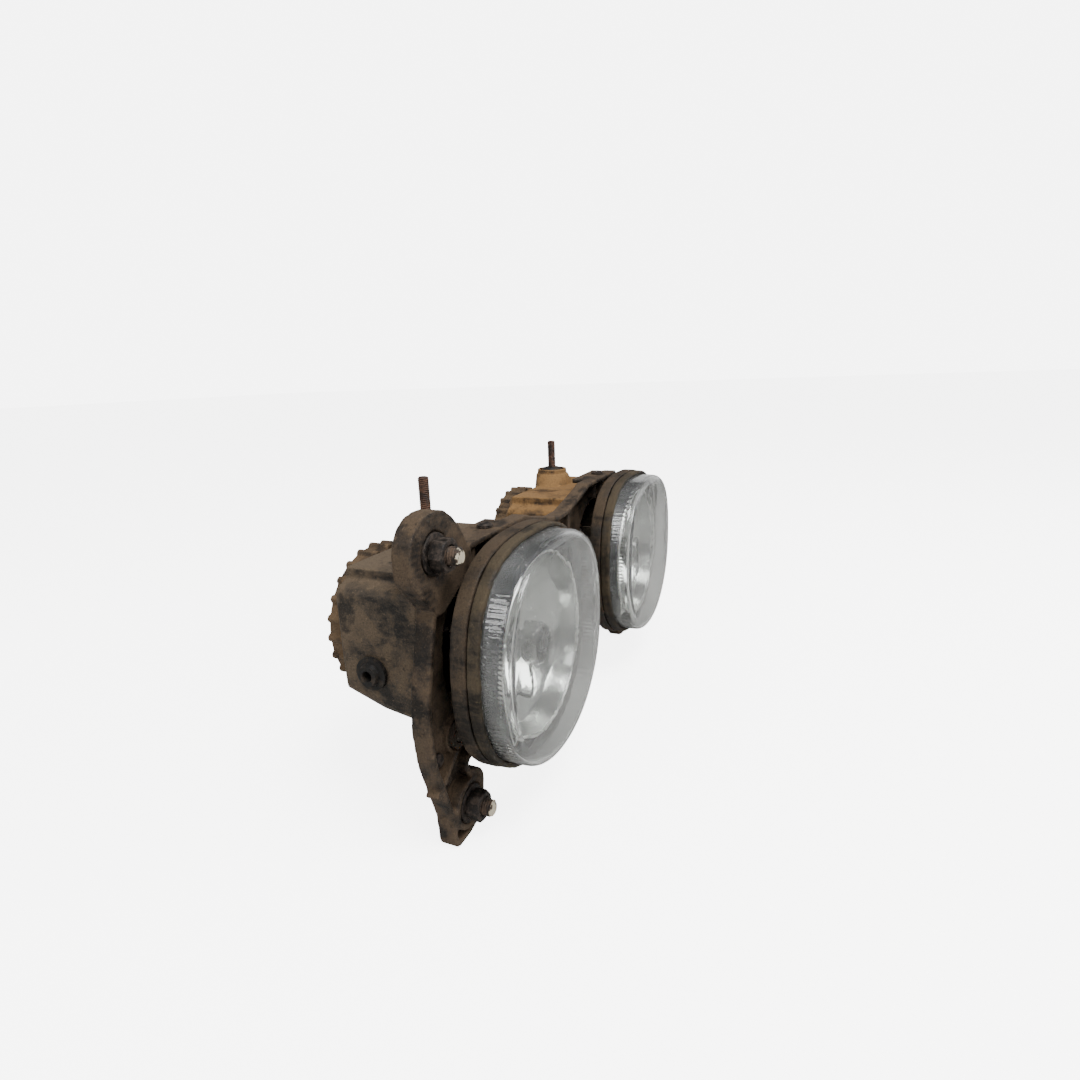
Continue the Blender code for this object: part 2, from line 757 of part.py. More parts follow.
def aim_nut():
    """The nut that rides up and down the spindle, with a pin on each side."""
    half = NUT_WIDTH / 2
    centre = Vector((SPINDLE_X, SPINDLE_Y, NUT_Z))
    reach = Vector((NUT_PIN_TIP, 0, 0))
    drop = Vector((0, 0, NUT_HEIGHT / 2 + MM))
    corner = Vector((half, half, NUT_HEIGHT / 2))
    body = block(centre - corner, centre + corner)
    pins = rod(NUT_PIN_RADIUS, centre - reach, centre + reach, 16)
    bore = rod(SPINDLE_RADIUS + GAP, centre - drop, centre + drop, 16)
    return cut(joined(body, pins), bore)


# ---- rear housing, cap and seals --------------------------------------------------------------


def housing_outline(corner_z, floor_z, inset=0.0):
    """The housing's section: stepped shoulders above, sloping corners below."""
    side = HOUSING_HALF_WIDTH - inset
    floor_half = FLOOR_HALF_WIDTH - inset * 0.4
    top = HOUSING_TOP_Z - inset
    shoulder = HOUSING_STEP_Z - inset
    left = [
        (-(side - STEP_WIDTH), top),
        (-(side - STEP_WIDTH), shoulder + 2 * MM),
        (-(side - 2 * MM), shoulder),
        (-side, shoulder - 3 * MM),
        (-side, corner_z + inset * 0.6),
        (-floor_half, floor_z + inset),
    ]
    return left + [(-x, z) for x, z in reversed(left)]


def housing_sections(front_y, wall):
    """The housing's sections from front to back, drawn in by the wall for its inside."""
    back_inset = SHOULDER_INSET + wall
    return [
        (housing_outline(CORNER_FRONT_Z, FLOOR_FRONT_Z, wall), front_y),
        (housing_outline(CORNER_BACK_Z, FLOOR_BACK_Z, wall), HOUSING_SHOULDER_Y),
        (housing_outline(CORNER_BACK_Z, FLOOR_BACK_Z, back_inset), HOUSING_BACK_Y - wall),
    ]


def flared_dome(low_z):
    """The roof's dome round the spindle, with a foot that spreads along the housing."""
    forward = DOME_FOOT_HALF_DEPTH - DOME_RADIUS
    foot = [
        (x * DOME_FOOT_HALF_WIDTH, z * DOME_FOOT_HALF_DEPTH + forward) for x, z in circle(1.0)
    ]
    dome = loft([(foot, low_z), (circle(DOME_RADIUS), DOME_TOP_Z)], caps=True)
    dome.data.transform(Matrix.Rotation(math.pi / 2, 4, "X"))
    return shifted(dome, SPINDLE_X, SPINDLE_Y)


def housing_lug(side):
    """The tab that a small screw fixes to the carrier's floor."""
    front_y = TRAY_BACK_Y + GAP
    corners = [(-3, 31, 0), (5.3, 7, 5), (1.5, -8, 5), (-21, -3, 0)]
    outline = []
    for x, z, radius in corners:
        outline.append((side * (LUG_SPOT_X + x * MM), LUG_SPOT_Z + z * MM, radius * MM))
    outline = rounded(outline)
    return plate(outline, front_y, front_y + 3 * MM)


def rear_housing():
    """The shell behind the carrier, with the spindle's dome, the cap's neck and the cable hole."""
    front_y = TRAY_BACK_Y + GAP
    shell = loft(housing_sections(front_y, 0), caps=True)
    spindle = Vector((SPINDLE_X, SPINDLE_Y, 0))
    up = Vector((0, 0, 1))
    low = spindle + up * (HOUSING_TOP_Z - SHOULDER_INSET - HOUSING_WALL)
    dome = flared_dome(low.z)
    cup = rod(CUP_RADIUS, low, spindle + up * CUP_TOP_Z, 24)
    neck = rod(NECK_OUTER, (0, HOUSING_SHOULDER_Y + 2 * MM, CAP_Z), (0, NECK_END_Y, CAP_Z), 32)
    tongue = block(
        (TAB_SCREW_X - TONGUE_HALF_WIDTH, TRAY_FRONT_Y + 2 * MM, HOUSING_TOP_Z - 3 * MM),
        (TAB_SCREW_X + TONGUE_HALF_WIDTH, front_y + 4 * MM, TAB_TOP_Z - TAB_WALL - GAP),
    )
    shell = joined(shell, dome, cup, neck, tongue, housing_lug(-1), housing_lug(1))
    inside = loft(housing_sections(front_y - MM, HOUSING_WALL), caps=True)
    bore_front_y = HOUSING_BACK_Y - HOUSING_WALL - MM
    bore = rod(NECK_OUTER - NECK_WALL, (0, bore_front_y, CAP_Z), (0, NECK_END_Y + MM, CAP_Z), 32)
    cup_hollow = rod(
        BUSH_RADIUS + GAP, spindle + up * (DOME_TOP_Z - MM), spindle + up * (CUP_TOP_Z + MM), 24
    )
    spindle_hole = rod(SPINDLE_RADIUS + GAP, low - up * 5 * MM, spindle + up * CUP_TOP_Z, 16)
    wall_x = -HOUSING_HALF_WIDTH
    inlet = rod(
        INLET_HOLE,
        (wall_x - MM, INLET_Y, INLET_Z),
        (wall_x + HOUSING_WALL + MM, INLET_Y, INLET_Z),
        16,
    )
    screw_hole = SMALL_SCREW_RADIUS + GAP
    tab_hole = rod(
        screw_hole,
        (TAB_SCREW_X, TAB_SCREW_Y, HOUSING_TOP_Z - 4 * MM),
        (TAB_SCREW_X, TAB_SCREW_Y, TAB_TOP_Z),
        12,
    )
    shell = cut(shell, inside, bore, cup_hollow, spindle_hole, inlet, tab_hole)
    for x in (-LUG_SPOT_X, LUG_SPOT_X):
        shell = cut(shell, along_y(screw_hole, x, LUG_SPOT_Z, front_y - MM, front_y + 4 * MM, 12))
    return shell


def cable_grommet():
    """The rubber gland in the housing's side wall, with the cable's bore."""
    out = HOUSING_HALF_WIDTH + GAP
    inward = HOUSING_HALF_WIDTH - HOUSING_WALL - GAP
    groove = INLET_HOLE - GAP
    profile = [
        (CABLE_BORE + 2.2 * MM, out + 4.4 * MM),
        (CABLE_BORE + 3 * MM, out + 2.2 * MM),
        (INLET_FLANGE, out + 1.8 * MM),
        (INLET_FLANGE, out),
        (groove, out),
        (groove, inward),
        (INLET_HOLE + 1.6 * MM, inward),
        (INLET_HOLE + 0.4 * MM, inward - 1.8 * MM),
        (CABLE_BORE, inward - 1.8 * MM),
        (CABLE_BORE, out + 4.4 * MM),
    ]
    piece = turned(profile, "X", 16)
    piece.data.transform(Matrix.Rotation(math.pi, 4, "Z"))
    return shifted(piece, 0, INLET_Y, INLET_Z)


def lugged_outline():
    """The cap's edge: a circle with evenly spaced round lugs."""
    points = []
    half = CAP_LUG_RADIUS / CAP_RADIUS
    for index in range(CAP_LUGS):
        middle = 2 * math.pi * index / CAP_LUGS
        centre = Vector((math.cos(middle), math.sin(middle))) * CAP_RADIUS
        for degrees in (-75, 0, 75):
            angle = middle + math.radians(degrees)
            points.append(tuple(centre + Vector((math.cos(angle), math.sin(angle))) * CAP_LUG_RADIUS))
        valley = middle + math.pi / CAP_LUGS
        if valley - middle > half:
            points.append((CAP_RADIUS * math.cos(valley), CAP_RADIUS * math.sin(valley)))
    return points


def rear_cap():
    """The screw cap: a floor with a hub, and a lugged skirt round the housing's neck."""
    body = plate(lugged_outline(), CAP_FRONT_Y, CAP_BACK_Y)
    hub = rod(HUB_RADIUS, (0, CAP_BACK_Y - MM, 0), (0, CAP_BACK_Y + HUB_HEIGHT, 0), 20)
    inside = rod(NECK_OUTER + GAP, (0, CAP_FRONT_Y - MM, 0), (0, CAP_BACK_Y - CAP_FLOOR, 0), 32)
    return shifted(cut(joined(body, hub), inside), z=CAP_Z)


def cap_seal():
    """The rubber ring that the cap presses on the neck's end."""
    outer, inner = NECK_OUTER - GAP, NECK_OUTER - SEAL_WIDTH
    back_y = CAP_BACK_Y - CAP_FLOOR - GAP
    front_y = NECK_END_Y + GAP
    profile = [(outer, back_y), (outer, front_y), (inner, front_y), (inner, back_y)]
    return shifted(turned(profile, "Y", 32), z=CAP_Z)


# ---- carrier and fasteners --------------------------------------------------------------------


def left_half_corners():
    """The tray's left half from its top middle down to its bottom middle, as x, z, radius."""
    lamp_x = LAMPS["left"]
    _, tail_x, tail_z = BOLT_SPOTS["lower_left"]
    upper = [(44, 52.5, 10), (36, 55.3, 4), (-24, 55.3, 0), (-30, 49, 3), (-52, 49, 8)]
    side = [(-57.5, 30, 20), (-68, -10, 40), (-65.5, -34, 25)]
    tail = [(-15, 1.5, 0), (-13.5, -17, 5), (12, -16.5, 14), (16.5, 10.5, 9), (5.5, 14, 4)]
    lower = [(-41, -47, 2.5), (-30, -46, 8), (34, -48, 20)]
    corners = [(lamp_x + x * MM, z * MM, radius * MM) for x, z, radius in upper + side]
    corners += [(lamp_x + tail_x + x * MM, tail_z + z * MM, radius * MM) for x, z, radius in tail]
    corners += [(lamp_x + x * MM, z * MM, radius * MM) for x, z, radius in lower]
    return corners


def drawn_in(corners, wall):
    """Rounded corners moved in by a wall's thickness, for an outline that runs anticlockwise."""
    moved = []
    count = len(corners)
    for index, (x, z, radius) in enumerate(corners):
        here = Vector((x, z))
        before = (here - Vector(corners[index - 1][:2])).normalized()
        after = (Vector(corners[(index + 1) % count][:2]) - here).normalized()
        inward = (before.orthogonal() + after.orthogonal()).normalized()
        lean = inward.dot(after.orthogonal())
        bend = before.cross(after)
        point = here + inward * wall / lean
        moved.append((point.x, point.y, max(radius - math.copysign(wall, bend), 0)))
    return moved


def tray():
    """The pan: a floor with a wall round its edge, open to the front."""
    left = left_half_corners()
    right = [(-x, z, radius) for x, z, radius in reversed(left)]
    corners = [(0, 43.5 * MM, 30 * MM)] + left + [(0, -41 * MM, 30 * MM)] + right
    pan = plate(rounded(corners), TRAY_FRONT_Y, TRAY_BACK_Y)
    pocket = plate(
        rounded(drawn_in(corners, TRAY_WALL)), TRAY_FRONT_Y - MM, TRAY_BACK_Y - TRAY_WALL
    )
    return cut(pan, pocket)


def ear(spot, corners):
    """A mounting ear round a bolt: a thick rounded plate, proud of the tray."""
    side, bolt_x, bolt_z = BOLT_SPOTS[spot]
    bolt_x += LAMPS[side]
    outline = [(bolt_x + x * MM, bolt_z + z * MM, radius * MM) for x, z, radius in corners]
    return plate(rounded(outline), EAR_FACE_Y, EAR_BACK_Y)


def along_y(radius, x, z, front_y, back_y, sides=24):
    return rod(radius, (x, front_y, z), (x, back_y, z), sides)


def carrier_features(x0):
    """What one lamp needs of the tray: socket bosses, ribs and the top tab."""
    solids = []
    for x in (-PIVOT_X, PIVOT_X):
        solids.append(along_y(SOCKET_RADIUS + 2 * MM, x0 + x, PIVOT_Z, 4 * MM, TRAY_BACK_Y - MM, 20))
    tab_low_z = TAB_TOP_Z - TAB_WALL
    tab_front_y = TRAY_FRONT_Y + 0.4 * MM
    solids.append(
        block((x0 + TAB_LEFT, tab_front_y, tab_low_z), (x0 + TAB_RIGHT, TAB_BACK_Y, TAB_TOP_Z))
    )
    tongue_left = TAB_SCREW_X - TONGUE_HALF_WIDTH
    tongue_right = TAB_SCREW_X + TONGUE_HALF_WIDTH
    for x in (TAB_LEFT, tongue_left - 4 * MM, tongue_right + 2 * MM):
        low = (x0 + x, TRAY_FRONT_Y + MM, TAB_RIB_LOW_Z)
        solids.append(block(low, (x0 + x + RIB_WALL, TRAY_BACK_Y - MM, tab_low_z + MM)))
    return solids


def tail_features(mirror):
    """A lower tail's boss, slanting rib and peg; mirror is 1 on the left and -1 on the right."""
    side, bolt_x, bolt_z = BOLT_SPOTS["lower_left" if mirror == 1 else "lower_right"]
    bolt_x += LAMPS[side]
    boss = along_y(BOSS_RADIUS, bolt_x, bolt_z, EAR_FACE_Y, EAR_BACK_Y, 24)
    slant = [(-23.5, 17.5), (-21.5, 15.5), (-3.5, 29.5), (-5.5, 31.5)]
    outline = [(bolt_x + mirror * x * MM, bolt_z + z * MM) for x, z in slant]
    rib = plate(outline, TRAY_FRONT_Y + MM, TRAY_BACK_Y - MM)
    peg_x = bolt_x - mirror * 9.5 * MM
    peg = along_y(PEG_RADIUS, peg_x, bolt_z + 17.5 * MM, PEG_FRONT_Y, TRAY_BACK_Y - MM, 12)
    return [boss, rib, peg]


def carrier_frame():
    """The moulded carrier of both lamps, with its ears, tails, tabs and openings."""
    body = tray()
    body = joined(body, ear("upper_left", UPPER_LEFT_EAR), ear("upper_right", UPPER_RIGHT_EAR))
    for mirror in (1, -1):
        body = joined(body, *tail_features(mirror))
    for x in (-MIDDLE_RIB_X, MIDDLE_RIB_X):
        rib = block(
            (x - RIB_WALL / 2, TRAY_FRONT_Y + 0.5 * MM, MIDDLE_RIB_LOW_Z),
            (x + RIB_WALL / 2, TRAY_BACK_Y - MM, MIDDLE_RIB_HIGH_Z),
        )
        body = joined(body, rib)
    for x0 in LAMPS.values():
        body = joined(body, *carrier_features(x0))
        aperture = [(x0 + x, z) for x, z in oval(APERTURE_HALF_WIDTH, APERTURE_HALF_HEIGHT)]
        body = cut(body, plate(aperture, TRAY_FRONT_Y - 3 * MM, TRAY_BACK_Y + 3 * MM))
        for x in (-PIVOT_X, PIVOT_X):
            body = cut(body, along_y(SOCKET_RADIUS + GAP, x0 + x, PIVOT_Z, 0, TRAY_BACK_Y + MM, 20))
        for x in (-LUG_SPOT_X, LUG_SPOT_X):
            hole = along_y(SMALL_SCREW_RADIUS + GAP, x0 + x, LUG_SPOT_Z, 0, TRAY_BACK_Y + MM, 12)
            body = cut(body, hole)
        half = TONGUE_HALF_WIDTH + 2 * GAP
        window = block(
            (x0 + TAB_SCREW_X - half, 0, HOUSING_TOP_Z - 3.6 * MM),
            (x0 + TAB_SCREW_X + half, TRAY_BACK_Y + MM, TAB_TOP_Z - TAB_WALL),
        )
        tab_hole = rod(
            SMALL_SCREW_RADIUS + GAP,
            (x0 + TAB_SCREW_X, TAB_SCREW_Y, TAB_TOP_Z - TAB_WALL - MM),
            (x0 + TAB_SCREW_X, TAB_SCREW_Y, TAB_TOP_Z + MM),
            12,
        )
        body = cut(body, window, tab_hole)
    for side, x, z in BOLT_SPOTS.values():
        bolt_x = LAMPS[side] + x
        recess = along_y(RECESS_RADIUS, bolt_x, z, EAR_FACE_Y - MM, EAR_FACE_Y + RECESS_DEPTH, 24)
        hole = along_y(BOLT_RADIUS + GAP, bolt_x, z, EAR_FACE_Y - MM, TRAY_BACK_Y + MM, 16)
        body = cut(body, recess, hole)
    return body


def pivot_socket():
    """A plastic cup for the ball stud, open to the front."""
    cup = BALL_RADIUS + GAP
    profile = [(0, TRAY_BACK_Y), (SOCKET_RADIUS, TRAY_BACK_Y), (SOCKET_RADIUS, SOCKET_FRONT_Y)]
    start = math.asin((SOCKET_FRONT_Y - PIVOT_Y) / cup)
    steps = 3
    for step in range(steps + 1):
        angle = start + (math.pi / 2 - start) * step / steps
        radius = 0 if step == steps else cup * math.cos(angle)
        profile.append((radius, PIVOT_Y + cup * math.sin(angle)))
    return turned(profile, ring=False, steps=16)


def small_screw(head_top, tip, axis, head_radius):
    """A round-headed screw with its head towards lower values along its axis."""
    head = 2 * MM
    profile = [
        (0, tip),
        (SMALL_SCREW_RADIUS, tip),
        (SMALL_SCREW_RADIUS, head_top + head),
        (head_radius, head_top + head),
        (head_radius, head_top + 0.8 * MM),
        (head_radius - 1.2 * MM, head_top),
        (0, head_top),
    ]
    return turned(profile, axis, 12, ring=False)


def tab_screw():
    """The screw that holds the housing's tongue under the carrier's top tab."""
    tip_z = HOUSING_TOP_Z - 2 * MM
    screw = small_screw(-TAB_TOP_Z - GAP - 2 * MM, -tip_z, "Z", TAB_SCREW_HEAD)
    screw.data.transform(Matrix.Rotation(math.pi, 4, "X"))
    return shifted(screw, TAB_SCREW_X, TAB_SCREW_Y)


def mounting_bolt():
    """An M8 bolt whose hexagonal head lies behind the ear."""
    head_y = TRAY_BACK_Y + GAP
    head = along_y(HEX_RADIUS, 0, 0, head_y, head_y + BOLT_HEAD, 6)
    chamfer = 0.8 * MM
    shank = turned(
        [
            (0, head_y + MM),
            (BOLT_RADIUS, head_y + MM),
            (BOLT_RADIUS, BOLT_TIP_Y + chamfer),
            (BOLT_RADIUS - chamfer, BOLT_TIP_Y),
            (0, BOLT_TIP_Y),
        ],
        ring=False,
        steps=16,
    )
    return joined(head, shank)


def washer_front_y():
    return EAR_FACE_Y + RECESS_DEPTH - GAP - WASHER_WALL


def mounting_washer():
    """The washer in the ear's recess."""
    inner, back_y = BOLT_RADIUS + GAP, EAR_FACE_Y + RECESS_DEPTH - GAP
    front_y = washer_front_y()
    profile = [(WASHER_RADIUS, back_y), (WASHER_RADIUS, front_y), (inner, front_y), (inner, back_y)]
    return turned(profile, steps=20)


def mounting_nut():
    """The M8 hexagonal nut in front of the washer."""
    back_y = washer_front_y() - GAP
    front_y = back_y - NUT_THICKNESS
    body = along_y(HEX_RADIUS, 0, 0, front_y, back_y, 6)
    hole = along_y(BOLT_RADIUS + GAP, 0, 0, front_y - MM, back_y + MM, 16)
    return cut(body, hole)


# ---- assembly ---------------------------------------------------------------------------------


def keep_at_bolts(name, shape, finish):
    mesh = bake(shape)
    for spot, (side, x, z) in BOLT_SPOTS.items():
        obj = keep(f"{name}_{spot}", mesh, finish)
        obj.location = (LAMPS[side] + x, 0, z)


def build_lamp_units():
    """The pieces that tilt, each lamp's hung on its pivot axis."""
    aim = joint_axes("aim_axis", 0, PIVOT_Y, PIVOT_Z)
    clip = joint_axes("bulb_clip_axis", 0, clip_y(), CLIP_PIVOT_Z, aim)
    keep_pair("lens", lens(), GLASS, aim)
    keep_pair("lens_seal", lens_seal(), RUBBER, aim)
    keep_pair("lens_ring", lens_ring(), BROWN_PLASTIC, aim)
    keep_pair("reflector", reflector(), REFLECTOR, aim)
    keep_pair("glare_shield", glare_shield(), CHROME, aim)
    keep_pair("bulb", bulb(), BULB_GLASS, aim)
    keep_pair("bulb_base", bulb_base(), STEEL, aim)
    keep_pair("bulb_clip", bulb_clip(), STEEL, clip)


def build_aiming():
    spindle = joint_axes("spindle_axis", SPINDLE_X, SPINDLE_Y, 0)
    keep_pair("aim_spindle", aim_spindle(), RUST, spindle)
    keep_pair("spindle_collar", spindle_collar(), STEEL, spindle)
    nut = joint_axes("aim_nut_axis", SPINDLE_X, SPINDLE_Y, NUT_Z)
    keep_pair("aim_nut", aim_nut(), WHITE_PLASTIC, nut)
    keep_pair("spindle_bush", spindle_bush(), RUBBER)


def build_housings():
    cap = joint_axes("cap_axis", 0, CAP_FRONT_Y, CAP_Z)
    keep_pair("rear_housing", rear_housing(), DUSTY_PLASTIC)
    keep_pair("cable_grommet", cable_grommet(), RUBBER)
    keep_pair("rear_cap", rear_cap(), BROWN_PLASTIC, cap)
    keep_pair("cap_seal", cap_seal(), RUBBER, cap)


def build_carrier():
    keep("carrier_frame", carrier_frame(), DUSTY_PLASTIC)
    keep_pair("tab_screw", tab_screw(), RUST)
    socket = bake(pivot_socket())
    head_y = TRAY_BACK_Y - TRAY_WALL - GAP - 2 * MM
    screw = bake(small_screw(head_y, TRAY_BACK_Y + 5 * MM, "Y", HOUSING_SCREW_HEAD))
    for lamp, lamp_x in LAMPS.items():
        outer_sign = -1 if lamp == "left" else 1
        for hand, sign in (("outer", outer_sign), ("inner", -outer_sign)):
            piece = keep(f"pivot_socket_{lamp}_{hand}", socket, WHITE_PLASTIC)
            piece.location = (lamp_x + sign * PIVOT_X, 0, PIVOT_Z)
            piece = keep(f"housing_screw_{lamp}_{hand}", screw, RUST)
            piece.location = (lamp_x + sign * LUG_SPOT_X, 0, LUG_SPOT_Z)
    keep_at_bolts("mounting_bolt", mounting_bolt(), RUST)
    keep_at_bolts("mounting_washer", mounting_washer(), STEEL)
    keep_at_bolts("mounting_nut", mounting_nut(), RUST)


clear_scene()
FOG_LIGHT = new_collection("fog_light")
WORKSHOP = new_collection("workshop")
GLASS = material("clear_glass", (0.80, 0.84, 0.83), 0.08, alpha=0.35)
BULB_GLASS = material("bulb_glass", (0.85, 0.87, 0.88), 0.05, alpha=0.4)
REFLECTOR = material("reflector_coating", (0.72, 0.73, 0.72), 0.15, 1.0)
CHROME = material("shield_chrome", (0.70, 0.70, 0.70), 0.12, 1.0)
STEEL = material("zinc_steel", (0.42, 0.41, 0.38), 0.45, 1.0)
RUST = material("rusty_steel", (0.21, 0.11, 0.07), 0.75, 0.6)
RUBBER = material("black_rubber", (0.03, 0.03, 0.03), 0.8)
WHITE_PLASTIC = material("nylon", (0.62, 0.60, 0.54), 0.5)
BROWN_PLASTIC = material("brown_dusty_plastic", (0.13, 0.10, 0.075), 0.7)
DUSTY_PLASTIC = material("carrier_dusty_plastic", (0.17, 0.13, 0.095), 0.75)
build_lamp_units()
build_aiming()
build_housings()
build_carrier()
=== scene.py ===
"""Looks of the twin fog light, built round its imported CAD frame."""

import math

import bmesh
import bpy
from mathutils import Matrix, Vector, noise


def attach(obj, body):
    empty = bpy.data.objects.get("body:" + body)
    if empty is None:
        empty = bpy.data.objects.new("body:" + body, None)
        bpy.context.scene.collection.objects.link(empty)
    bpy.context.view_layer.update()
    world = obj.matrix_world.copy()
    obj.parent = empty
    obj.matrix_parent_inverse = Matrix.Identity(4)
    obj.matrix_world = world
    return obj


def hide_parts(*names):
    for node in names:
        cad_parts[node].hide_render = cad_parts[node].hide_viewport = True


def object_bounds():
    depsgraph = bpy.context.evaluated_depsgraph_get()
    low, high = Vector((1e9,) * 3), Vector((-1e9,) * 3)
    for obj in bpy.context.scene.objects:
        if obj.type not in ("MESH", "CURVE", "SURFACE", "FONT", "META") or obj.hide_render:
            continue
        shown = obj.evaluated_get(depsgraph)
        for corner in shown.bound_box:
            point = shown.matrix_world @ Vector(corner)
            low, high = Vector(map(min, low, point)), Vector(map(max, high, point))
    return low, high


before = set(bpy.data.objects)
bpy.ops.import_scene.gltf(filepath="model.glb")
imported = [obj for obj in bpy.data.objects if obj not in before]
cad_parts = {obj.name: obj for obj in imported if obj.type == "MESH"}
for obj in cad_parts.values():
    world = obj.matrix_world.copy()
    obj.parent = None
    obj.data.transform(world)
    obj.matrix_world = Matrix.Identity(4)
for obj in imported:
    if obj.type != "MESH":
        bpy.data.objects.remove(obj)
CAD_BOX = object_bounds()

MM = 0.001
LAMPS = {"left": -85 * MM, "right": 85 * MM}

# Lamp outline, lens, ring and bowl, as in the CAD
RING_HALF_WIDTH = 61 * MM
RING_HALF_HEIGHT = 58 * MM
TOP_SQUARENESS = 2.7
BOTTOM_SQUARENESS = 2.08
RING_FRONT_Y = -19.7 * MM
LENS_INSET = 3.0 * MM
LENS_WALL = 2.6 * MM
LENS_RISE = 13.5 * MM
LENS_ROUND = 5 * MM
LENS_DRAFT = 0.4 * MM
LENS_CROWN = 2.5 * MM
BOWL_RADIUS = 40 * MM
BOWL_RIM_Y = -9.7 * MM
FOCAL_LENGTH = 20 * MM
RIM_RADIUS = 43.5 * MM
RIM_Y = -21.5 * MM
BOWL_LIFT = 0.6 * MM  # how much wider the bright skin starts than the moulded bowl
BOWL_PROUD = 0.4 * MM
BOWL_STEPS = 16
BOWL_STEP = 2.1 * MM
POINT_ANGLE = math.radians(228)  # where the rim's bead runs out to a point
POINT_HALF_WIDTH = math.radians(11)
POINT_REACH = 6 * MM
SIDE_FLUTES_FROM = 43 * MM
SIDE_FLUTE_DEPTH = 0.12 * MM
SIDE_FLUTE_PITCH = 2.6 * MM
TOP_FLUTES_FROM = 40 * MM
TOP_FLUTES_HALF_WIDTH = 12 * MM
TOP_FLUTE_DEPTH = 0.2 * MM
TOP_FLUTE_PITCH = 2.2 * MM
RIDGE_PITCH = 2.2 * MM
RIDGES_FROM_Y = -27 * MM

# Sections round the lamp's outline in mm: how far in from the ring's edge, and Y
RING_SECTION = [(0, -14.2), (0, -7), (2.7, -7), (2.7, -10), (8.5, -10), (8.5, -13), (2.7, -13), (2.7, -14.2)]
FRONT_BAND_SECTION = [(0.5, -15.0), (1.4, -14.4), (2.8, -14.4), (2.8, -20.2), (1.5, -20.2), (0.6, -19.4)]
LENS_SEAL_SECTION = [(3.0, -15.4), (3.0, -13.3), (6.6, -13.3), (6.6, -15.4)]

# Turned profiles in mm: radius, and height along the axis
BEAD_PROFILE = [(-0.2, 0.4), (0.0, -0.7), (0.9, -0.9), (1.4, 0.4)]
SHIELD_PROFILE = [
    (0, -20.5), (9.0, -20.5), (10.5, -19), (10.5, -11), (9.7, -11), (9.7, -18.9), (8.8, -19.7), (0, -19.7),
]
BUSH_PROFILE = [
    (3.2, 59.0), (5.0, 58.9), (6.4, 58.2), (7.2, 56.8), (8.8, 56.4), (9.0, 55.8), (9.0, 53.4), (3.2, 53.4),
]
COLLAR_PROFILE = [(6.5, 43.2), (6.5, 41.4), (3.3, 41.4), (3.3, 43.2)]
WASHER_PROFILE = [(9.0, 1.2), (9.0, -0.4), (4.3, -0.4), (4.3, 1.2)]
CAP_PROFILE = [
    (0.01, 78.5), (12.0, 78.5), (13.0, 77.5), (33.0, 77.5), (37.2, 77.3),
    (37.2, 64.6), (35.5, 64.5), (35.5, 74.9), (0.01, 74.9),
]
CAP_SEAL_PROFILE = [(34.9, 74.6), (34.9, 71.3), (31.8, 71.3), (31.8, 74.6)]
ON_AXIS = 0.01  # mm: the radius that stands for the axis itself

# Fasteners, spindle and cap
BOLTS = {
    "upper_left": (-138.5 * MM, 58.5 * MM),
    "lower_left": (-125.5 * MM, -67.5 * MM),
    "upper_right": (159 * MM, 25 * MM),
    "lower_right": (125.5 * MM, -67.5 * MM),
}
BOLT_RADIUS = 4 * MM
BOLT_TIP_Y = -12 * MM
BOLT_SHANK_Y = 10.6 * MM
BOLT_HEAD_FRONT_Y = 10.3 * MM
BOLT_HEAD_BACK_Y = 15.6 * MM
BOLT_PITCH = 1.25 * MM
BOLT_THREAD_DEPTH = 0.6 * MM
BOLT_CHAMFER = 0.8 * MM
NUT_FRONT_Y = -7.2 * MM
NUT_BACK_Y = -0.7 * MM
NUT_BORE = 4.15 * MM
ACROSS_FLATS = 13 * MM
SPINDLE = (10.5 * MM, 47.4 * MM)
SPINDLE_RADIUS = 3 * MM
SPINDLE_BOTTOM_Z = 14 * MM
SPINDLE_TOP_Z = 78.4 * MM
SPINDLE_PITCH = 1 * MM
SPINDLE_THREAD_DEPTH = 0.45 * MM
THREAD_CHAMFER = 0.7 * MM
THREAD_ROWS = 6  # rows of points for each turn of a thread
PIVOT_X = 42.2 * MM
PIVOT_Y = 4.0  # mm, as the profiles
PIVOT_Z = -30.3 * MM
CUP_RADIUS = 4.4
SOCKET_RADIUS = 6.5
SOCKET_FRONT_Y = 2
SOCKET_BACK_Y = 10
BULB_RADIUS = 4.5
BULB_DOME_Y = -12.5
BULB_TIP_Y = -17
BULB_FOOT = [(4.5, 14), (4.0, 16), (4.0, 21.9), (0.01, 21.9)]
CAP_Z = 4.5 * MM
CAP_LUGS = 24
CAP_RADIUS = 37.2 * MM
CAP_EDGE_RADIUS = 36.5 * MM
CAP_LUG_RADIUS = 2.1 * MM
CAP_LUG_RISE = 0.98
NECK_FRONT_Y = 59 * MM
MOULDING_VOXEL = 0.7 * MM
MOULDING_PASSES = 4

# Stage
FLOOR_HALF_WIDTH = 12
FLOOR_DROP = 0.0002
FLOOR_GLOW = 5.0  # to the camera only
WORLD_LIGHT = 0.8  # as light on the object
WORLD_SEEN = 6.3  # as the camera sees it
ROOM_SCALE = 1.6
ROOM_DARK = 0.04  # the room that mirrors and glass show, from dark to bright
ROOM_BRIGHT = 0.75
ROOM_DARK_UP_TO = 0.42
ROOM_BRIGHT_FROM = 0.60
SOFTBOXES = {  # place, size in metres and power in watts
    "key_light": (Vector((-0.30, -0.45, 1.0)), 0.55, 22),
    "side_light": (Vector((-1.0, 0.35, 0.75)), 0.45, 6),
    "front_light": (Vector((0.35, -1.1, 0.45)), 0.4, 8),
}
CAMERA_PLACE = (-0.34133, -0.13860, 0.12682)
CAMERA_AZIMUTH = math.radians(-65.59)
CAMERA_ELEVATION = math.radians(14.82)
CAMERA_ROLL = math.radians(-2.15)
CAMERA_SENSOR = 36
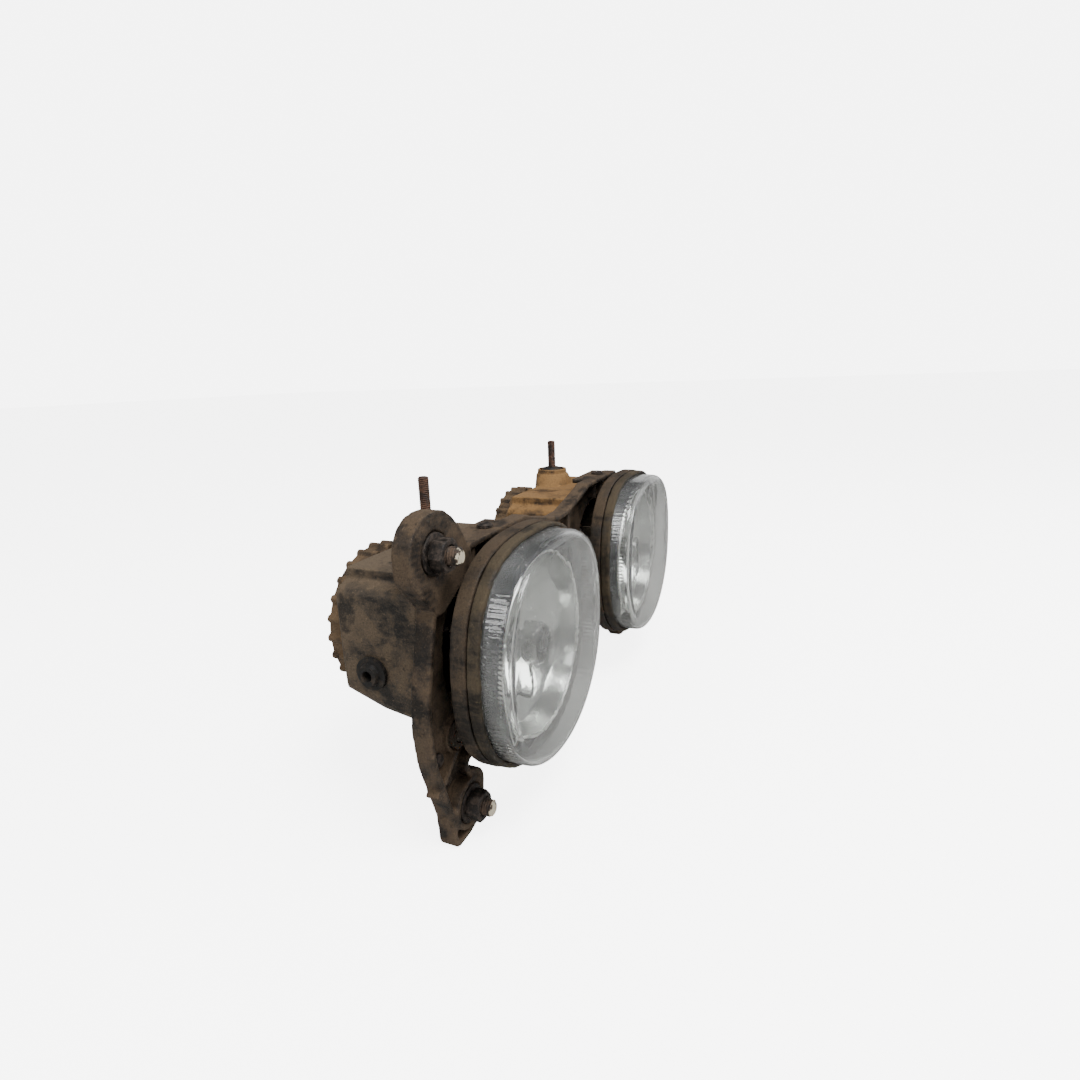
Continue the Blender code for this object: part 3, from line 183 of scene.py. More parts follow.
CAMERA_LENS = CAMERA_SENSOR * 623.85 / 1080


# ---- materials ----------------------------------------------------------------------------


class Paint:
    """One Principled material with short ways to wire noise, masks and bumps to it."""

    def __init__(self, name, **values):
        self.material = bpy.data.materials.new(name)
        self.material.use_nodes = True
        self.tree = self.material.node_tree
        self.shader = self.tree.nodes["Principled BSDF"]
        self.place = self.tree.nodes.new("ShaderNodeTexCoord")
        for key, value in values.items():
            self.shader.inputs[key.replace("_", " ")].default_value = value

    def node(self, kind, **settings):
        made = self.tree.nodes.new(kind)
        for key, value in settings.items():
            setattr(made, key, value)
        return made

    def link(self, value, socket):
        if isinstance(value, bpy.types.NodeSocket):
            self.tree.links.new(value, socket)
        elif isinstance(value, tuple) and len(value) == 3 and socket.type == "RGBA":
            socket.default_value = (*value, 1)
        else:
            socket.default_value = value

    def noise(self, size, detail=4.0, stretch=(1, 1, 1), roughness=0.55):
        """Noise whose features are about this large, in metres."""
        scaled = self.node("ShaderNodeMapping")
        scaled.inputs["Scale"].default_value = tuple(s / size for s in stretch)
        self.link(self.place.outputs["Object"], scaled.inputs["Vector"])
        made = self.node("ShaderNodeTexNoise")
        made.inputs["Scale"].default_value = 1
        made.inputs["Detail"].default_value = detail
        made.inputs["Roughness"].default_value = roughness
        self.link(scaled.outputs["Vector"], made.inputs["Vector"])
        return made.outputs["Fac"]

    def specks(self, size, radius):
        """Round specks: 1 inside, 0 outside, in cells of this size."""
        scaled = self.node("ShaderNodeMapping")
        scaled.inputs["Scale"].default_value = (1 / size,) * 3
        self.link(self.place.outputs["Object"], scaled.inputs["Vector"])
        cells = self.node("ShaderNodeTexVoronoi")
        cells.inputs["Scale"].default_value = 1
        self.link(scaled.outputs["Vector"], cells.inputs["Vector"])
        return self.ramp(cells.outputs["Distance"], radius, radius * 0.6)

    def ramp(self, value, low, high, out_low=0.0, out_high=1.0):
        made = self.node("ShaderNodeMapRange", interpolation_type="SMOOTHSTEP")
        if low > high:
            low, high, out_low, out_high = high, low, out_high, out_low
        for socket, number in (("Value", value), ("From Min", low), ("From Max", high)):
            self.link(number, made.inputs[socket])
        made.inputs["To Min"].default_value = out_low
        made.inputs["To Max"].default_value = out_high
        return made.outputs["Result"]

    def math(self, operation, first, second=0.0):
        made = self.node("ShaderNodeMath", operation=operation)
        self.link(first, made.inputs[0])
        self.link(second, made.inputs[1])
        return made.outputs[0]

    def summed(self, first, second):
        """The sum of two shares, at most 1."""
        made = self.node("ShaderNodeMath", operation="ADD", use_clamp=True)
        self.link(first, made.inputs[0])
        self.link(second, made.inputs[1])
        return made.outputs[0]

    def mix(self, share, first, second):
        made = self.node("ShaderNodeMix", data_type="RGBA")
        self.link(share, made.inputs["Factor"])
        self.link(first, made.inputs["A"])
        self.link(second, made.inputs["B"])
        return made.outputs["Result"]

    def axis(self, name, output="Object"):
        """One coordinate of the object's own space."""
        split = self.node("ShaderNodeSeparateXYZ")
        self.link(self.place.outputs[output], split.inputs[0])
        return split.outputs[name]

    def bump(self, height, distance, before=None):
        made = self.node("ShaderNodeBump")
        made.inputs["Strength"].default_value = 1.0
        made.inputs["Distance"].default_value = distance
        self.link(height, made.inputs["Height"])
        if before is not None:
            self.link(before, made.inputs["Normal"])
        return made.outputs["Normal"]

    def wear(self, **sockets):
        for key, value in sockets.items():
            self.link(value, self.shader.inputs[key.replace("_", " ")])
        return self.material


def dusty_plastic(name, dark, brown, dust, cover, painted_shade_from=None):
    """Moulded plastic under dried road dust: clean scuffs, stains, pale grains and runs.

    A painted shade darkens what lies behind the Y of the last argument, such as the neck under a cap's edge.
    """
    p = Paint(name, Specular_IOR_Level=0.22)
    patches = p.noise(45 * MM, 5)
    cloud = p.noise(11 * MM, 9, roughness=0.68)
    smear = p.noise(5 * MM, 6, stretch=(1, 0.5, 2.6), roughness=0.6)
    grain = p.noise(0.8 * MM, 6, roughness=0.75)
    stain = p.noise(19 * MM, 7, roughness=0.62)
    up = p.ramp(p.axis("Z", "Normal"), 0.2, 1.0)
    amount = p.math("ADD", p.math("MULTIPLY", patches, 0.5), p.math("MULTIPLY", cloud, 0.5))
    covered = p.ramp(amount, cover - 0.06, cover + 0.06)
    covered = p.summed(p.math("MULTIPLY", covered, 0.85), p.math("MULTIPLY", up, 0.6))
    base = p.mix(p.ramp(smear, 0.42, 0.62), dark, brown)
    base = p.mix(covered, base, dust)
    base = p.mix(p.ramp(stain, 0.55, 0.65, 0, 0.8), base, dark)
    pale = tuple(c * 2.2 for c in dust)
    base = p.mix(p.ramp(grain, 0.55, 0.72, 0, 0.5), base, pale)
    base = p.mix(p.ramp(grain, 0.46, 0.34, 0, 0.6), base, tuple(c * 0.4 for c in dark))
    scuff = p.noise(2.2 * MM, 3, stretch=(0.25, 1, 1))
    base = p.mix(p.ramp(scuff, 0.66, 0.74, 0, 0.35), base, pale)
    # painted shade: near black behind the given Y, on the neck under the cap's edge
    if painted_shade_from is not None:
        base = p.mix(p.ramp(p.axis("Y"), painted_shade_from - 0.5 * MM, painted_shade_from + 0.5 * MM), base, PAINTED_SHADE)
    rough = p.ramp(covered, 0, 1, 0.5, 0.9)
    fine = p.bump(grain, 0.2 * MM)
    coarse = p.bump(cloud, 0.8 * MM, fine)
    return p.wear(Base_Color=base, Roughness=rough, Normal=coarse)


def rusty_steel(name, dark, rust, pale, metal=0.45):
    p = Paint(name)
    patch = p.noise(3.4 * MM, 7, roughness=0.65)
    fine = p.noise(0.5 * MM, 5)
    base = p.mix(p.ramp(patch, 0.4, 0.6), dark, rust)
    base = p.mix(p.ramp(fine, 0.55, 0.75, 0, 0.6), base, pale)
    rough = p.ramp(patch, 0.35, 0.65, 0.5, 0.9)
    metallic = p.ramp(patch, 0.45, 0.6, metal, 0.0)
    return p, base, rough, metallic, p.bump(fine, 0.12 * MM, p.bump(patch, 0.35 * MM))


def plain_rust(name, dark, rust, pale, metal=0.45):
    p, base, rough, metallic, normal = rusty_steel(name, dark, rust, pale, metal)
    return p.wear(Base_Color=base, Roughness=rough, Metallic=metallic, Normal=normal)


def painted_tip(name, dark, rust, pale):
    """Rusty steel whose front end wears a blob of cream paint."""
    p, base, rough, metallic, normal = rusty_steel(name, dark, rust, pale)
    edge = p.math("ADD", p.axis("Y"), p.math("MULTIPLY", p.noise(2.2 * MM, 5), 5 * MM))
    tip = p.ramp(edge, -9.0 * MM, -9.3 * MM)
    base = p.mix(tip, base, CREAM)
    metallic = p.math("MULTIPLY", metallic, p.math("SUBTRACT", 1.0, tip))
    return p.wear(Base_Color=base, Roughness=rough, Metallic=metallic, Normal=normal)


def mirror(name, color, roughness, haze):
    """Aluminised plastic, slightly hazed and dusty."""
    p = Paint(name, Metallic=1.0)
    cloud = p.noise(12 * MM, 6)
    ripple = p.noise(5 * MM, 2)
    base = p.mix(p.ramp(cloud, 0.4, 0.7, 0, haze), color, tuple(c * 0.6 for c in color))
    base = p.mix(p.math("MULTIPLY", p.specks(4 * MM, 0.12), 0.6), base, (0.20, 0.18, 0.14))
    rough = p.ramp(cloud, 0.35, 0.7, roughness, roughness + 0.14)
    return p.wear(Base_Color=base, Roughness=rough, Normal=p.bump(ripple, 0.10 * MM))


def band_with_painted_reflection(name, dark, pale):
    """The flat band round the bowl, with a painted reflection: near black at the left and top, pale at the
    right and foot, under dust specks.
    """
    p = Paint(name, IOR=1.6)
    cloud = p.noise(15 * MM, 6)
    # painted reflection: a slant from dark at the upper left to pale at the lower right, its edge broken by
    # noise
    painted_reflection_slant = p.math("SUBTRACT", p.axis("X", "Generated"), p.axis("Z", "Generated"))
    share = p.ramp(p.math("ADD", painted_reflection_slant, p.math("MULTIPLY", cloud, 0.3)), -0.25, 0.75)
    base = p.mix(share, dark, pale)
    base = p.mix(p.math("MULTIPLY", p.specks(3 * MM, 0.10), 0.8), base, (0.3, 0.28, 0.23))
    rough = p.ramp(cloud, 0.3, 0.7, 0.10, 0.3)
    return p.wear(Base_Color=base, Roughness=rough, Normal=p.bump(p.noise(6 * MM, 3), 0.06 * MM))


def clear_glass(name, tint, dirt, film, ridge_from=None):
    """Moulded glass with a thin film of dirt; fine ridges run round its side from ridge_from."""
    p = Paint(name, IOR=1.47)
    cloud = p.noise(16 * MM, 7, roughness=0.6)
    fine = p.noise(1.3 * MM, 6, roughness=0.7)
    specks = p.math("MULTIPLY", p.specks(3.2 * MM, 0.14), p.ramp(cloud, 0.4, 0.6))
    dirty = p.summed(p.ramp(cloud, 0.35, 0.75, film * 0.4, film), p.math("MULTIPLY", specks, 0.4))
    dirty = p.summed(dirty, p.ramp(fine, 0.6, 0.8, 0, film))
    normal = p.bump(p.noise(9 * MM, 2), 0.05 * MM)
    if ridge_from is not None:
        wave = p.math("SINE", p.math("MULTIPLY", p.axis("Z"), 2 * math.pi / RIDGE_PITCH))
        side = p.ramp(p.axis("Y"), ridge_from - 2 * MM, ridge_from)
        normal = p.bump(p.math("MULTIPLY", wave, side), 0.05 * MM, normal)
    base = p.mix(dirty, tint, dirt)
    clear = p.math("SUBTRACT", 1.0, dirty)
    rough = p.ramp(fine, 0.3, 0.9, 0.01, 0.08)
    return p.wear(Base_Color=base, Transmission_Weight=clear, Roughness=rough, Normal=normal)


def rubber(name, black, dust):
    p = Paint(name, Specular_IOR_Level=0.3)
    cloud = p.noise(4 * MM, 6)
    fine = p.noise(0.5 * MM, 4)
    base = p.mix(p.ramp(cloud, 0.45, 0.7), black, dust)
    rough = p.ramp(cloud, 0.3, 0.7, 0.5, 0.92)
    return p.wear(Base_Color=base, Roughness=rough, Normal=p.bump(fine, 0.1 * MM))


def nylon(name, color, stain):
    p = Paint(name, Subsurface_Weight=0.06)
    cloud = p.noise(3 * MM, 5)
    base = p.mix(p.ramp(cloud, 0.45, 0.7), color, stain)
    rough = p.ramp(cloud, 0.3, 0.7, 0.4, 0.6)
    return p.wear(Base_Color=base, Roughness=rough, Normal=p.bump(p.noise(0.6 * MM), 0.04 * MM))


def pale_floor(name):
    """A white floor: bright to the camera, and grey in mirrors and glass."""
    p = Paint(name, Roughness=0.95, Specular_IOR_Level=0.0, Emission_Color=(1, 1, 1, 1))
    ray = p.node("ShaderNodeLightPath").outputs
    base = p.mix(p.noise(60 * MM, 5), (0.86, 0.86, 0.85), (0.9, 0.9, 0.89))
    base = p.mix(p.summed(ray["Is Glossy Ray"], ray["Is Transmission Ray"]), base, (0.26, 0.26, 0.25))
    return p.wear(Base_Color=base, Emission_Strength=p.math("MULTIPLY", ray["Is Camera Ray"], FLOOR_GLOW))


# near black painted shade for the neck in the gap under the cap's edge
PAINTED_SHADE = (0.006, 0.005, 0.004)
CREAM = (0.30, 0.26, 0.19)
BODY = dusty_plastic(
    "dusty_carrier", (0.006, 0.0046, 0.0036), (0.022, 0.015, 0.0095), (0.052, 0.035, 0.021), 0.49
)
HOUSING = {
    "left": dusty_plastic(
        "dusty_housing_near",
        (0.0095, 0.008, 0.0068),
        (0.028, 0.0205, 0.0138),
        (0.064, 0.046, 0.029),
        0.49,
        painted_shade_from=NECK_FRONT_Y,
    ),
    "right": dusty_plastic(
        "dusty_housing_far",
        (0.016, 0.009, 0.0042),
        (0.060, 0.034, 0.0135),
        (0.145, 0.080, 0.030),
        0.45,
        painted_shade_from=NECK_FRONT_Y,
    ),
}
RING = dusty_plastic(
    "dusty_ring", (0.006, 0.0048, 0.0036), (0.018, 0.013, 0.0085), (0.038, 0.026, 0.0155), 0.50
)
LIP = dusty_plastic(
    "olive_lip", (0.007, 0.0055, 0.0036), (0.021, 0.0155, 0.009), (0.040, 0.030, 0.0175), 0.50
)
CAP = dusty_plastic(
    "dusty_cap", (0.008, 0.0056, 0.0036), (0.030, 0.0195, 0.011), (0.075, 0.048, 0.026), 0.47
)
LENS = clear_glass("lens_glass", (0.92, 0.93, 0.92), (0.15, 0.145, 0.12), 0.06, RIDGES_FROM_Y)
BULB = clear_glass("quartz_glass", (0.95, 0.96, 0.96), (0.3, 0.3, 0.28), 0.02)
MIRROR = mirror("aluminised_bowl", (0.55, 0.56, 0.54), 0.12, 0.6)
RIM = mirror("bright_rim", (0.95, 0.95, 0.93), 0.25, 0.2)
# the band's dark and pale colours are a painted reflection of the room, not a tint of the band
BAND = band_with_painted_reflection("band_with_painted_reflection", (0.002, 0.003, 0.005), (0.11, 0.11, 0.095))
SHIELD = mirror("plated_shield", (0.30, 0.30, 0.29), 0.2, 0.6)
REAR = dusty_plastic(
    "reflector_back", (0.012, 0.010, 0.008), (0.028, 0.022, 0.016), (0.07, 0.055, 0.038), 0.6
)
STEEL = plain_rust("dull_zinc", (0.14, 0.13, 0.12), (0.20, 0.17, 0.13), (0.3, 0.26, 0.2), 0.9)
NUT = plain_rust("brown_nut", (0.007, 0.0055, 0.0045), (0.024, 0.015, 0.0095), (0.060, 0.040, 0.026))
BOLT = painted_tip("rusty_bolt", (0.012, 0.009, 0.007), (0.045, 0.026, 0.014), (0.10, 0.065, 0.04))
SPINDLE_RUST = plain_rust(
    "spindle_rust", (0.018, 0.0095, 0.0062), (0.062, 0.026, 0.0125), (0.13, 0.068, 0.038)
)
SEAL = rubber("dusty_rubber", (0.005, 0.0045, 0.004), (0.024, 0.017, 0.011))
WHITE = nylon("stained_nylon", (0.35, 0.31, 0.24), (0.12, 0.09, 0.055))
SOCKET = nylon("dirty_socket", (0.035, 0.026, 0.018), (0.014, 0.010, 0.007))


# ---- mesh helpers ----------------------------------------------------------------------------


def piece(name, bm, material, body, sharp=38):
    """A finished mesh with the given material, riding on a body."""
    bmesh.ops.remove_doubles(bm, verts=bm.verts, dist=1e-7)
    bmesh.ops.recalc_face_normals(bm, faces=bm.faces)
    mesh = bpy.data.meshes.new(name)
    bm.to_mesh(mesh)
    bm.free()
    mesh.materials.append(material)
    mesh.shade_smooth()
    mesh.set_sharp_from_angle(angle=math.radians(sharp))
    obj = bpy.data.objects.new(name, mesh)
    bpy.context.scene.collection.objects.link(obj)
    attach(obj, body)
    return obj


def skin(rows, closed=False):
    """Faces over rows of equally many points, each row a loop; closed joins the last to the first."""
    bm = bmesh.new()
    add_skin(bm, rows, closed)
    return bm


def add_skin(bm, rows, closed=False):
    loops = [[bm.verts.new(point) for point in row] for row in rows]
    pairs = list(zip(loops, loops[1:]))
    if closed:
        pairs.append((loops[-1], loops[0]))
    for first, second in pairs:
        for index in range(len(first)):
            bm.faces.new((first[index - 1], first[index], second[index], second[index - 1]))


def softened(profile, radius, closed=True):
    """A profile of (a, b) points in mm, scaled to metres, with each corner rounded."""
    points = [Vector(point) * MM for point in profile]
    steps = 3
    made = []
    for index, here in enumerate(points):
        if not closed and index in (0, len(points) - 1):
            made.append(here)
            continue
        before = points[index - 1] - here
        after = points[(index + 1) % len(points)] - here
        reach = min(radius, before.length * 0.45, after.length * 0.45)
        start, end = here + before.normalized() * reach, here + after.normalized() * reach
        for step in range(steps + 1):
            t = step / steps
            made.append(start * (1 - t) ** 2 + here * 2 * t * (1 - t) + end * t**2)
    return made


AXES = {
    "X": (Vector((1, 0, 0)), Vector((0, 1, 0)), Vector((0, 0, 1))),
    "Y": (Vector((0, 1, 0)), Vector((0, 0, 1)), Vector((1, 0, 0))),
    "Z": (Vector((0, 0, 1)), Vector((1, 0, 0)), Vector((0, 1, 0))),
}


def turned(profile, centre, axis="Y", steps=64, radius_at=None):
    """Rows for a piece turned round an axis, one for each (radius, height) point."""
    along, first, second = AXES[axis]
    rows = []
    for radius, height in profile:
        row = []
        for step in range(steps):
            angle = 2 * math.pi * step / steps
            r = radius if radius_at is None else radius_at(radius, height, angle)
            outward = first * math.cos(angle) + second * math.sin(angle)
            row.append(Vector(centre) + along * height + outward * r)
        rows.append(row)
    return rows


def lathe(profile, centre, axis="Y", steps=64, closed=True, radius_at=None):
    return skin(turned(profile, centre, axis, steps, radius_at), closed)


def oval(half_width, half_height, steps=120):
    """The lamp's outline: a superellipse, squarer above than below."""
    points = []
    for step in range(steps):
        angle = 2 * math.pi * step / steps
        c, s = math.cos(angle), math.sin(angle)
        power = 2 / (TOP_SQUARENESS if s > 0 else BOTTOM_SQUARENESS)
        x = half_width * math.copysign(abs(c) ** power, c)
        z = half_height * math.copysign(abs(s) ** power, s)
        points.append((x, z))
    return points


def ring_row(inset, y, x0):
    outline = oval(RING_HALF_WIDTH - inset, RING_HALF_HEIGHT - inset)
    return [Vector((x0 + x, y, z)) for x, z in outline]


def round_point(centre, axis, height, radius, angle):
    along, first, second = AXES[axis]
    return Vector(centre) + along * height + (first * math.cos(angle) + second * math.sin(angle)) * radius


def thread(bm, centre, axis, start, end, radius, pitch, depth, chamfer=THREAD_CHAMFER, sides=28):
    """A threaded rod with chamfered ends, as a helix pressed into a cylinder."""
    along = AXES[axis][0]
    count = round((end - start) / pitch * THREAD_ROWS)
    rows = [[Vector(centre) + along * start] * sides]
    for index in range(count + 1):
        height = start + (end - start) * index / count
        from_end = min(height - start, end - height)
        row = []
        for step in range(sides):
            angle = 2 * math.pi * step / sides
            phase = (height / pitch - step / sides) % 1
            r = radius - depth * (1 - abs(2 * phase - 1)) - max(0, chamfer - from_end)
            row.append(round_point(centre, axis, height, r, angle))
        rows.append(row)
    rows.append([Vector(centre) + along * end] * sides)
    add_skin(bm, rows)


def hexagon(bm, centre, low, high, across, bore=0.0, steps=72):
    """A hexagonal head or nut along Y, its corners chamfered, with a bore or a flat end."""
    apothem = across / 2
    along = AXES["Y"][0]
    levels = [level * MM for level in (0, 0.15, 0.45, 0.9, 1.4)]
    heights = [low + level for level in levels] + [high - level for level in reversed(levels)]
    rows = [[Vector(centre) + along * low] * steps] if not bore else []
    for height in heights:
        near = min(height - low, high - height)
        row = []
        for step in range(steps):
            angle = 2 * math.pi * step / steps
            folded = (angle + math.pi / 6) % (math.pi / 3) - math.pi / 6
            r = min(apothem / math.cos(folded), apothem * 0.99 + near * 1.6)
            row.append(round_point(centre, "Y", height, r, angle))
        rows.append(row)
    if bore:
        for height in (high, high - 0.5 * MM, low + 0.5 * MM, low):
            grow = 0.5 * MM if height in (high, low) else 0
            rows.append(turned([(bore + grow, height)], centre, "Y", steps)[0])
    else:
        rows.append([Vector(centre) + along * high] * steps)
    add_skin(bm, rows, closed=bool(bore))


def crumbled(bm, amount, size, chosen):
    """Moves the skin in and out a little, as caked dirt does."""
    bm.normal_update()
    for vert in bm.verts:
        shift = noise.fractal(vert.co / size, 0.8, 2.0, 4) * amount * chosen(vert.co)
        vert.co += vert.normal * shift


# ---- lamp units ------------------------------------------------------------------------------


def bowl_y(radius):
    return BOWL_RIM_Y + (BOWL_RADIUS**2 - radius**2) / (4 * FOCAL_LENGTH)


def lens_rows(x0, wall):
    """The lens's outer skin, or its inner skin where wall is the glass's thickness."""
    inset = LENS_INSET + wall
    edge_y = RING_FRONT_Y - LENS_RISE + LENS_ROUND
    rows = [
        ring_row(inset, RING_FRONT_Y + 4 * MM, x0),
        ring_row(inset + LENS_DRAFT / 2, (RING_FRONT_Y + edge_y) / 2, x0),
        ring_row(inset + LENS_DRAFT, edge_y, x0),
    ]
    corner = LENS_ROUND - wall * 0.8
    for degrees in range(10, 91, 10):
        angle = math.radians(degrees)
        in_by = inset + LENS_DRAFT + corner * (1 - math.cos(angle))
        rows.append(ring_row(in_by, edge_y - (LENS_ROUND - wall) * math.sin(angle), x0))
    face_inset = LENS_INSET + LENS_DRAFT + LENS_ROUND
    face_y = RING_FRONT_Y - LENS_RISE + wall
    for share in (0.97, 0.93, 0.88, 0.82, 0.74, 0.64, 0.52, 0.38, 0.22, 0.0):
        y = face_y - LENS_CROWN * (1 - share**2)
        row = []
        half_width = (RING_HALF_WIDTH - face_inset) * share
        for x, z in oval(half_width, (RING_HALF_HEIGHT - face_inset) * share):
            lift = flute_depth(x, z) if wall else 0
            row.append(Vector((x0 + x, y + lift, z)))
        rows.append(row)
    return rows


def flute_depth(x, z):
    """The moulded flutes inside the glass: upright at both sides, a fine patch on top."""
    if abs(x) > SIDE_FLUTES_FROM:
        return SIDE_FLUTE_DEPTH * (1 - math.cos(2 * math.pi * x / SIDE_FLUTE_PITCH))
    if z > TOP_FLUTES_FROM and abs(x) < TOP_FLUTES_HALF_WIDTH:
        return TOP_FLUTE_DEPTH * (1 - math.cos(2 * math.pi * x / TOP_FLUTE_PITCH))
    return 0.0


def build_lens(side, x0):
    outer = lens_rows(x0, 0)
    inner = lens_rows(x0, LENS_WALL)
    bm = bmesh.new()
    add_skin(bm, outer[::-1] + inner)
    glass = piece(f"lens_glass_{side}", bm, LENS, f"lamp_{side}", 30)
    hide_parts(f"lens_{side}")


def build_ring(side, x0):
    """The outer ring, a dusty front band beyond a seam, and the rubber behind the glass."""
    rounded = softened(RING_SECTION, 0.8 * MM)
    bm = skin([ring_row(inset, y, x0) for inset, y in rounded], closed=True)
    crumbled(bm, 0.16 * MM, 5 * MM, lambda co: -1.0 if noise.noise(co / (8 * MM)) < 0 else -0.5)
    ring = piece(f"dusty_lens_ring_{side}", bm, RING, f"lamp_{side}")
    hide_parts(f"lens_ring_{side}")
    rounded = softened(FRONT_BAND_SECTION, 0.6 * MM)
    bm = skin([ring_row(inset, y, x0) for inset, y in rounded], closed=True)
    crumbled(bm, 0.3 * MM, 4 * MM, lambda co: -1.0 if noise.noise(co / (6 * MM)) < 0.1 else -0.3)
    piece(f"front_band_{side}", bm, LIP, f"lamp_{side}")
    rounded = softened(LENS_SEAL_SECTION, 0.6 * MM)
    bm = skin([ring_row(inset, y, x0) for inset, y in rounded], closed=True)
    seal = piece(f"rubber_seal_{side}", bm, SEAL, f"lamp_{side}")
    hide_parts(f"lens_seal_{side}")


def bowl_rows(x0):
    """The bright bowl, just proud of the moulded reflector, with its wall up to the rim."""
    profile = []
    for share in (0.0, 0.2, 0.4, 0.6, 0.8):
        radius = RIM_RADIUS + (BOWL_RADIUS + BOWL_LIFT - RIM_RADIUS) * share
        profile.append((radius, RIM_Y + (BOWL_RIM_Y - RIM_Y) * share))
    for step in range(BOWL_STEPS):
        radius = BOWL_RADIUS + BOWL_LIFT - step * BOWL_STEP
        profile.append((radius, bowl_y(radius) - BOWL_PROUD))
    return turned(profile, (x0, 0, 0), "Y", 120)


def notched(radius, height, angle):
    """The rim's bead runs out to a point at its lower left."""
    away = abs(angle - POINT_ANGLE)
    return radius + POINT_REACH * max(0, 1 - away / POINT_HALF_WIDTH) ** 1.3


def build_reflector(side, x0):
    piece(f"bowl_skin_{side}", skin(bowl_rows(x0)), MIRROR, f"lamp_{side}")
    bead = [(RIM_RADIUS + radius, RIM_Y + height) for radius, height in softened(BEAD_PROFILE, 0.5 * MM)]
    rows = turned(bead, (x0, 0, 0), "Y", 180, notched)
    piece(f"bowl_rim_{side}", skin(rows, closed=True), RIM, f"lamp_{side}")
    flat = []
    for share in (0.0, 0.15, 0.3, 0.45, 0.6, 0.75, 0.9, 1.0):
        row = []
        outline = oval(RING_HALF_WIDTH - 3.4 * MM, RING_HALF_HEIGHT - 3.4 * MM)
        for index, (x, z) in enumerate(outline):
            angle = 2 * math.pi * index / len(outline)
            inner = Vector((math.cos(angle), math.sin(angle))) * (RIM_RADIUS + 0.7 * MM)
            point = Vector((x, z)).lerp(inner, share)
            y = BOWL_RIM_Y - 0.3 * MM + (RIM_Y - BOWL_RIM_Y + 0.5 * MM) * share**1.4
            row.append(Vector((x0 + point.x, y, point.y)))
        flat.append(row)
    piece(f"reflector_band_{side}", skin(flat), BAND, f"lamp_{side}")


def build_shield_and_bulb(side, x0):
    centre = (x0, 0, 0)
    cup = softened(SHIELD_PROFILE, 0.5 * MM, closed=False)
    bm = lathe(cup, centre, "Y", 64, closed=False)
    piece(f"shield_cup_{side}", bm, SHIELD, f"lamp_{side}")
    capsule = [(ON_AXIS, BULB_TIP_Y)]
    for degrees in (80, 65, 50, 35, 20, 0):
        angle = math.radians(degrees)
        capsule.append((BULB_RADIUS * math.cos(angle), BULB_DOME_Y - BULB_RADIUS * math.sin(angle)))
    capsule += BULB_FOOT
    bm = lathe([(a * MM, b * MM) for a, b in capsule], centre, "Y", 48, closed=False)
    quartz = piece(f"quartz_capsule_{side}", bm, BULB, f"lamp_{side}")
    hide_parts(f"bulb_{side}")


def build_lamps():
    for side, x0 in LAMPS.items():
        build_lens(side, x0)
        build_ring(side, x0)
        build_reflector(side, x0)
        build_shield_and_bulb(side, x0)


# ---- fasteners, spindles, caps ------------------------------------------------------------------


def build_spindle(side, x0):
    bm = bmesh.new()
    centre = (x0 + SPINDLE[0], SPINDLE[1], 0)
    ends = (SPINDLE_BOTTOM_Z, SPINDLE_TOP_Z)
    thread(bm, centre, "Z", *ends, SPINDLE_RADIUS, SPINDLE_PITCH, SPINDLE_THREAD_DEPTH)
    rod = piece(f"threaded_spindle_{side}", bm, SPINDLE_RUST, f"spindle_{side}", 60)
    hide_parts(f"aim_spindle_{side}")
    bm = lathe(softened(BUSH_PROFILE, 0.5 * MM), centre, "Z", 56)
    rubbery = piece(f"domed_bush_{side}", bm, SEAL, "carrier")
    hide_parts(f"spindle_bush_{side}")
    bm = lathe(softened(COLLAR_PROFILE, 0.3 * MM), centre, "Z", 48)
    ring = piece(f"turned_collar_{side}", bm, STEEL, f"spindle_{side}")
    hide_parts(f"spindle_collar_{side}")


def build_bolt(spot, x, z):
    centre = (x, 0, z)
    bm = bmesh.new()
    sizes = (BOLT_RADIUS, BOLT_PITCH, BOLT_THREAD_DEPTH, BOLT_CHAMFER)
    thread(bm, centre, "Y", BOLT_TIP_Y, BOLT_SHANK_Y, *sizes, sides=32)
    hexagon(bm, centre, BOLT_HEAD_FRONT_Y, BOLT_HEAD_BACK_Y, ACROSS_FLATS)
    bolt = piece(f"threaded_bolt_{spot}", bm, BOLT, "carrier", 50)
    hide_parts(f"mounting_bolt_{spot}")
    bm = bmesh.new()
    hexagon(bm, centre, NUT_FRONT_Y, NUT_BACK_Y, ACROSS_FLATS, NUT_BORE)
    nut = piece(f"chamfered_nut_{spot}", bm, NUT, "carrier", 30)
    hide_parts(f"mounting_nut_{spot}")
    bm = lathe(softened(WASHER_PROFILE, 0.35 * MM), centre, "Y", 64)
    washer = piece(f"stamped_washer_{spot}", bm, NUT, "carrier")
    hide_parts(f"mounting_washer_{spot}")


def lugged(radius, height, angle):
    """The cap's edge: half-round lugs on a circle."""
    if radius < CAP_EDGE_RADIUS:
        return radius
    part = (angle / (2 * math.pi / CAP_LUGS) + 0.5) % 1 - 0.5
    across = part * 2 * math.pi / CAP_LUGS * CAP_RADIUS
    return radius + math.sqrt(max(0, CAP_LUG_RADIUS**2 - across**2)) * CAP_LUG_RISE


def build_cap(side, x0):
    centre = (x0, 0, CAP_Z)
    shape = softened(CAP_PROFILE, 0.7 * MM, closed=False)
    bm = lathe(shape, centre, "Y", CAP_LUGS * 14, closed=False, radius_at=lugged)
    cap = piece(f"lugged_cap_{side}", bm, CAP, f"cap_{side}", 45)
    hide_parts(f"rear_cap_{side}")
    bm = lathe(softened(CAP_SEAL_PROFILE, 0.7 * MM), centre, "Y", 96)
    seal = piece(f"round_cap_seal_{side}", bm, SEAL, f"cap_seal_{side}")
    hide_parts(f"cap_seal_{side}")


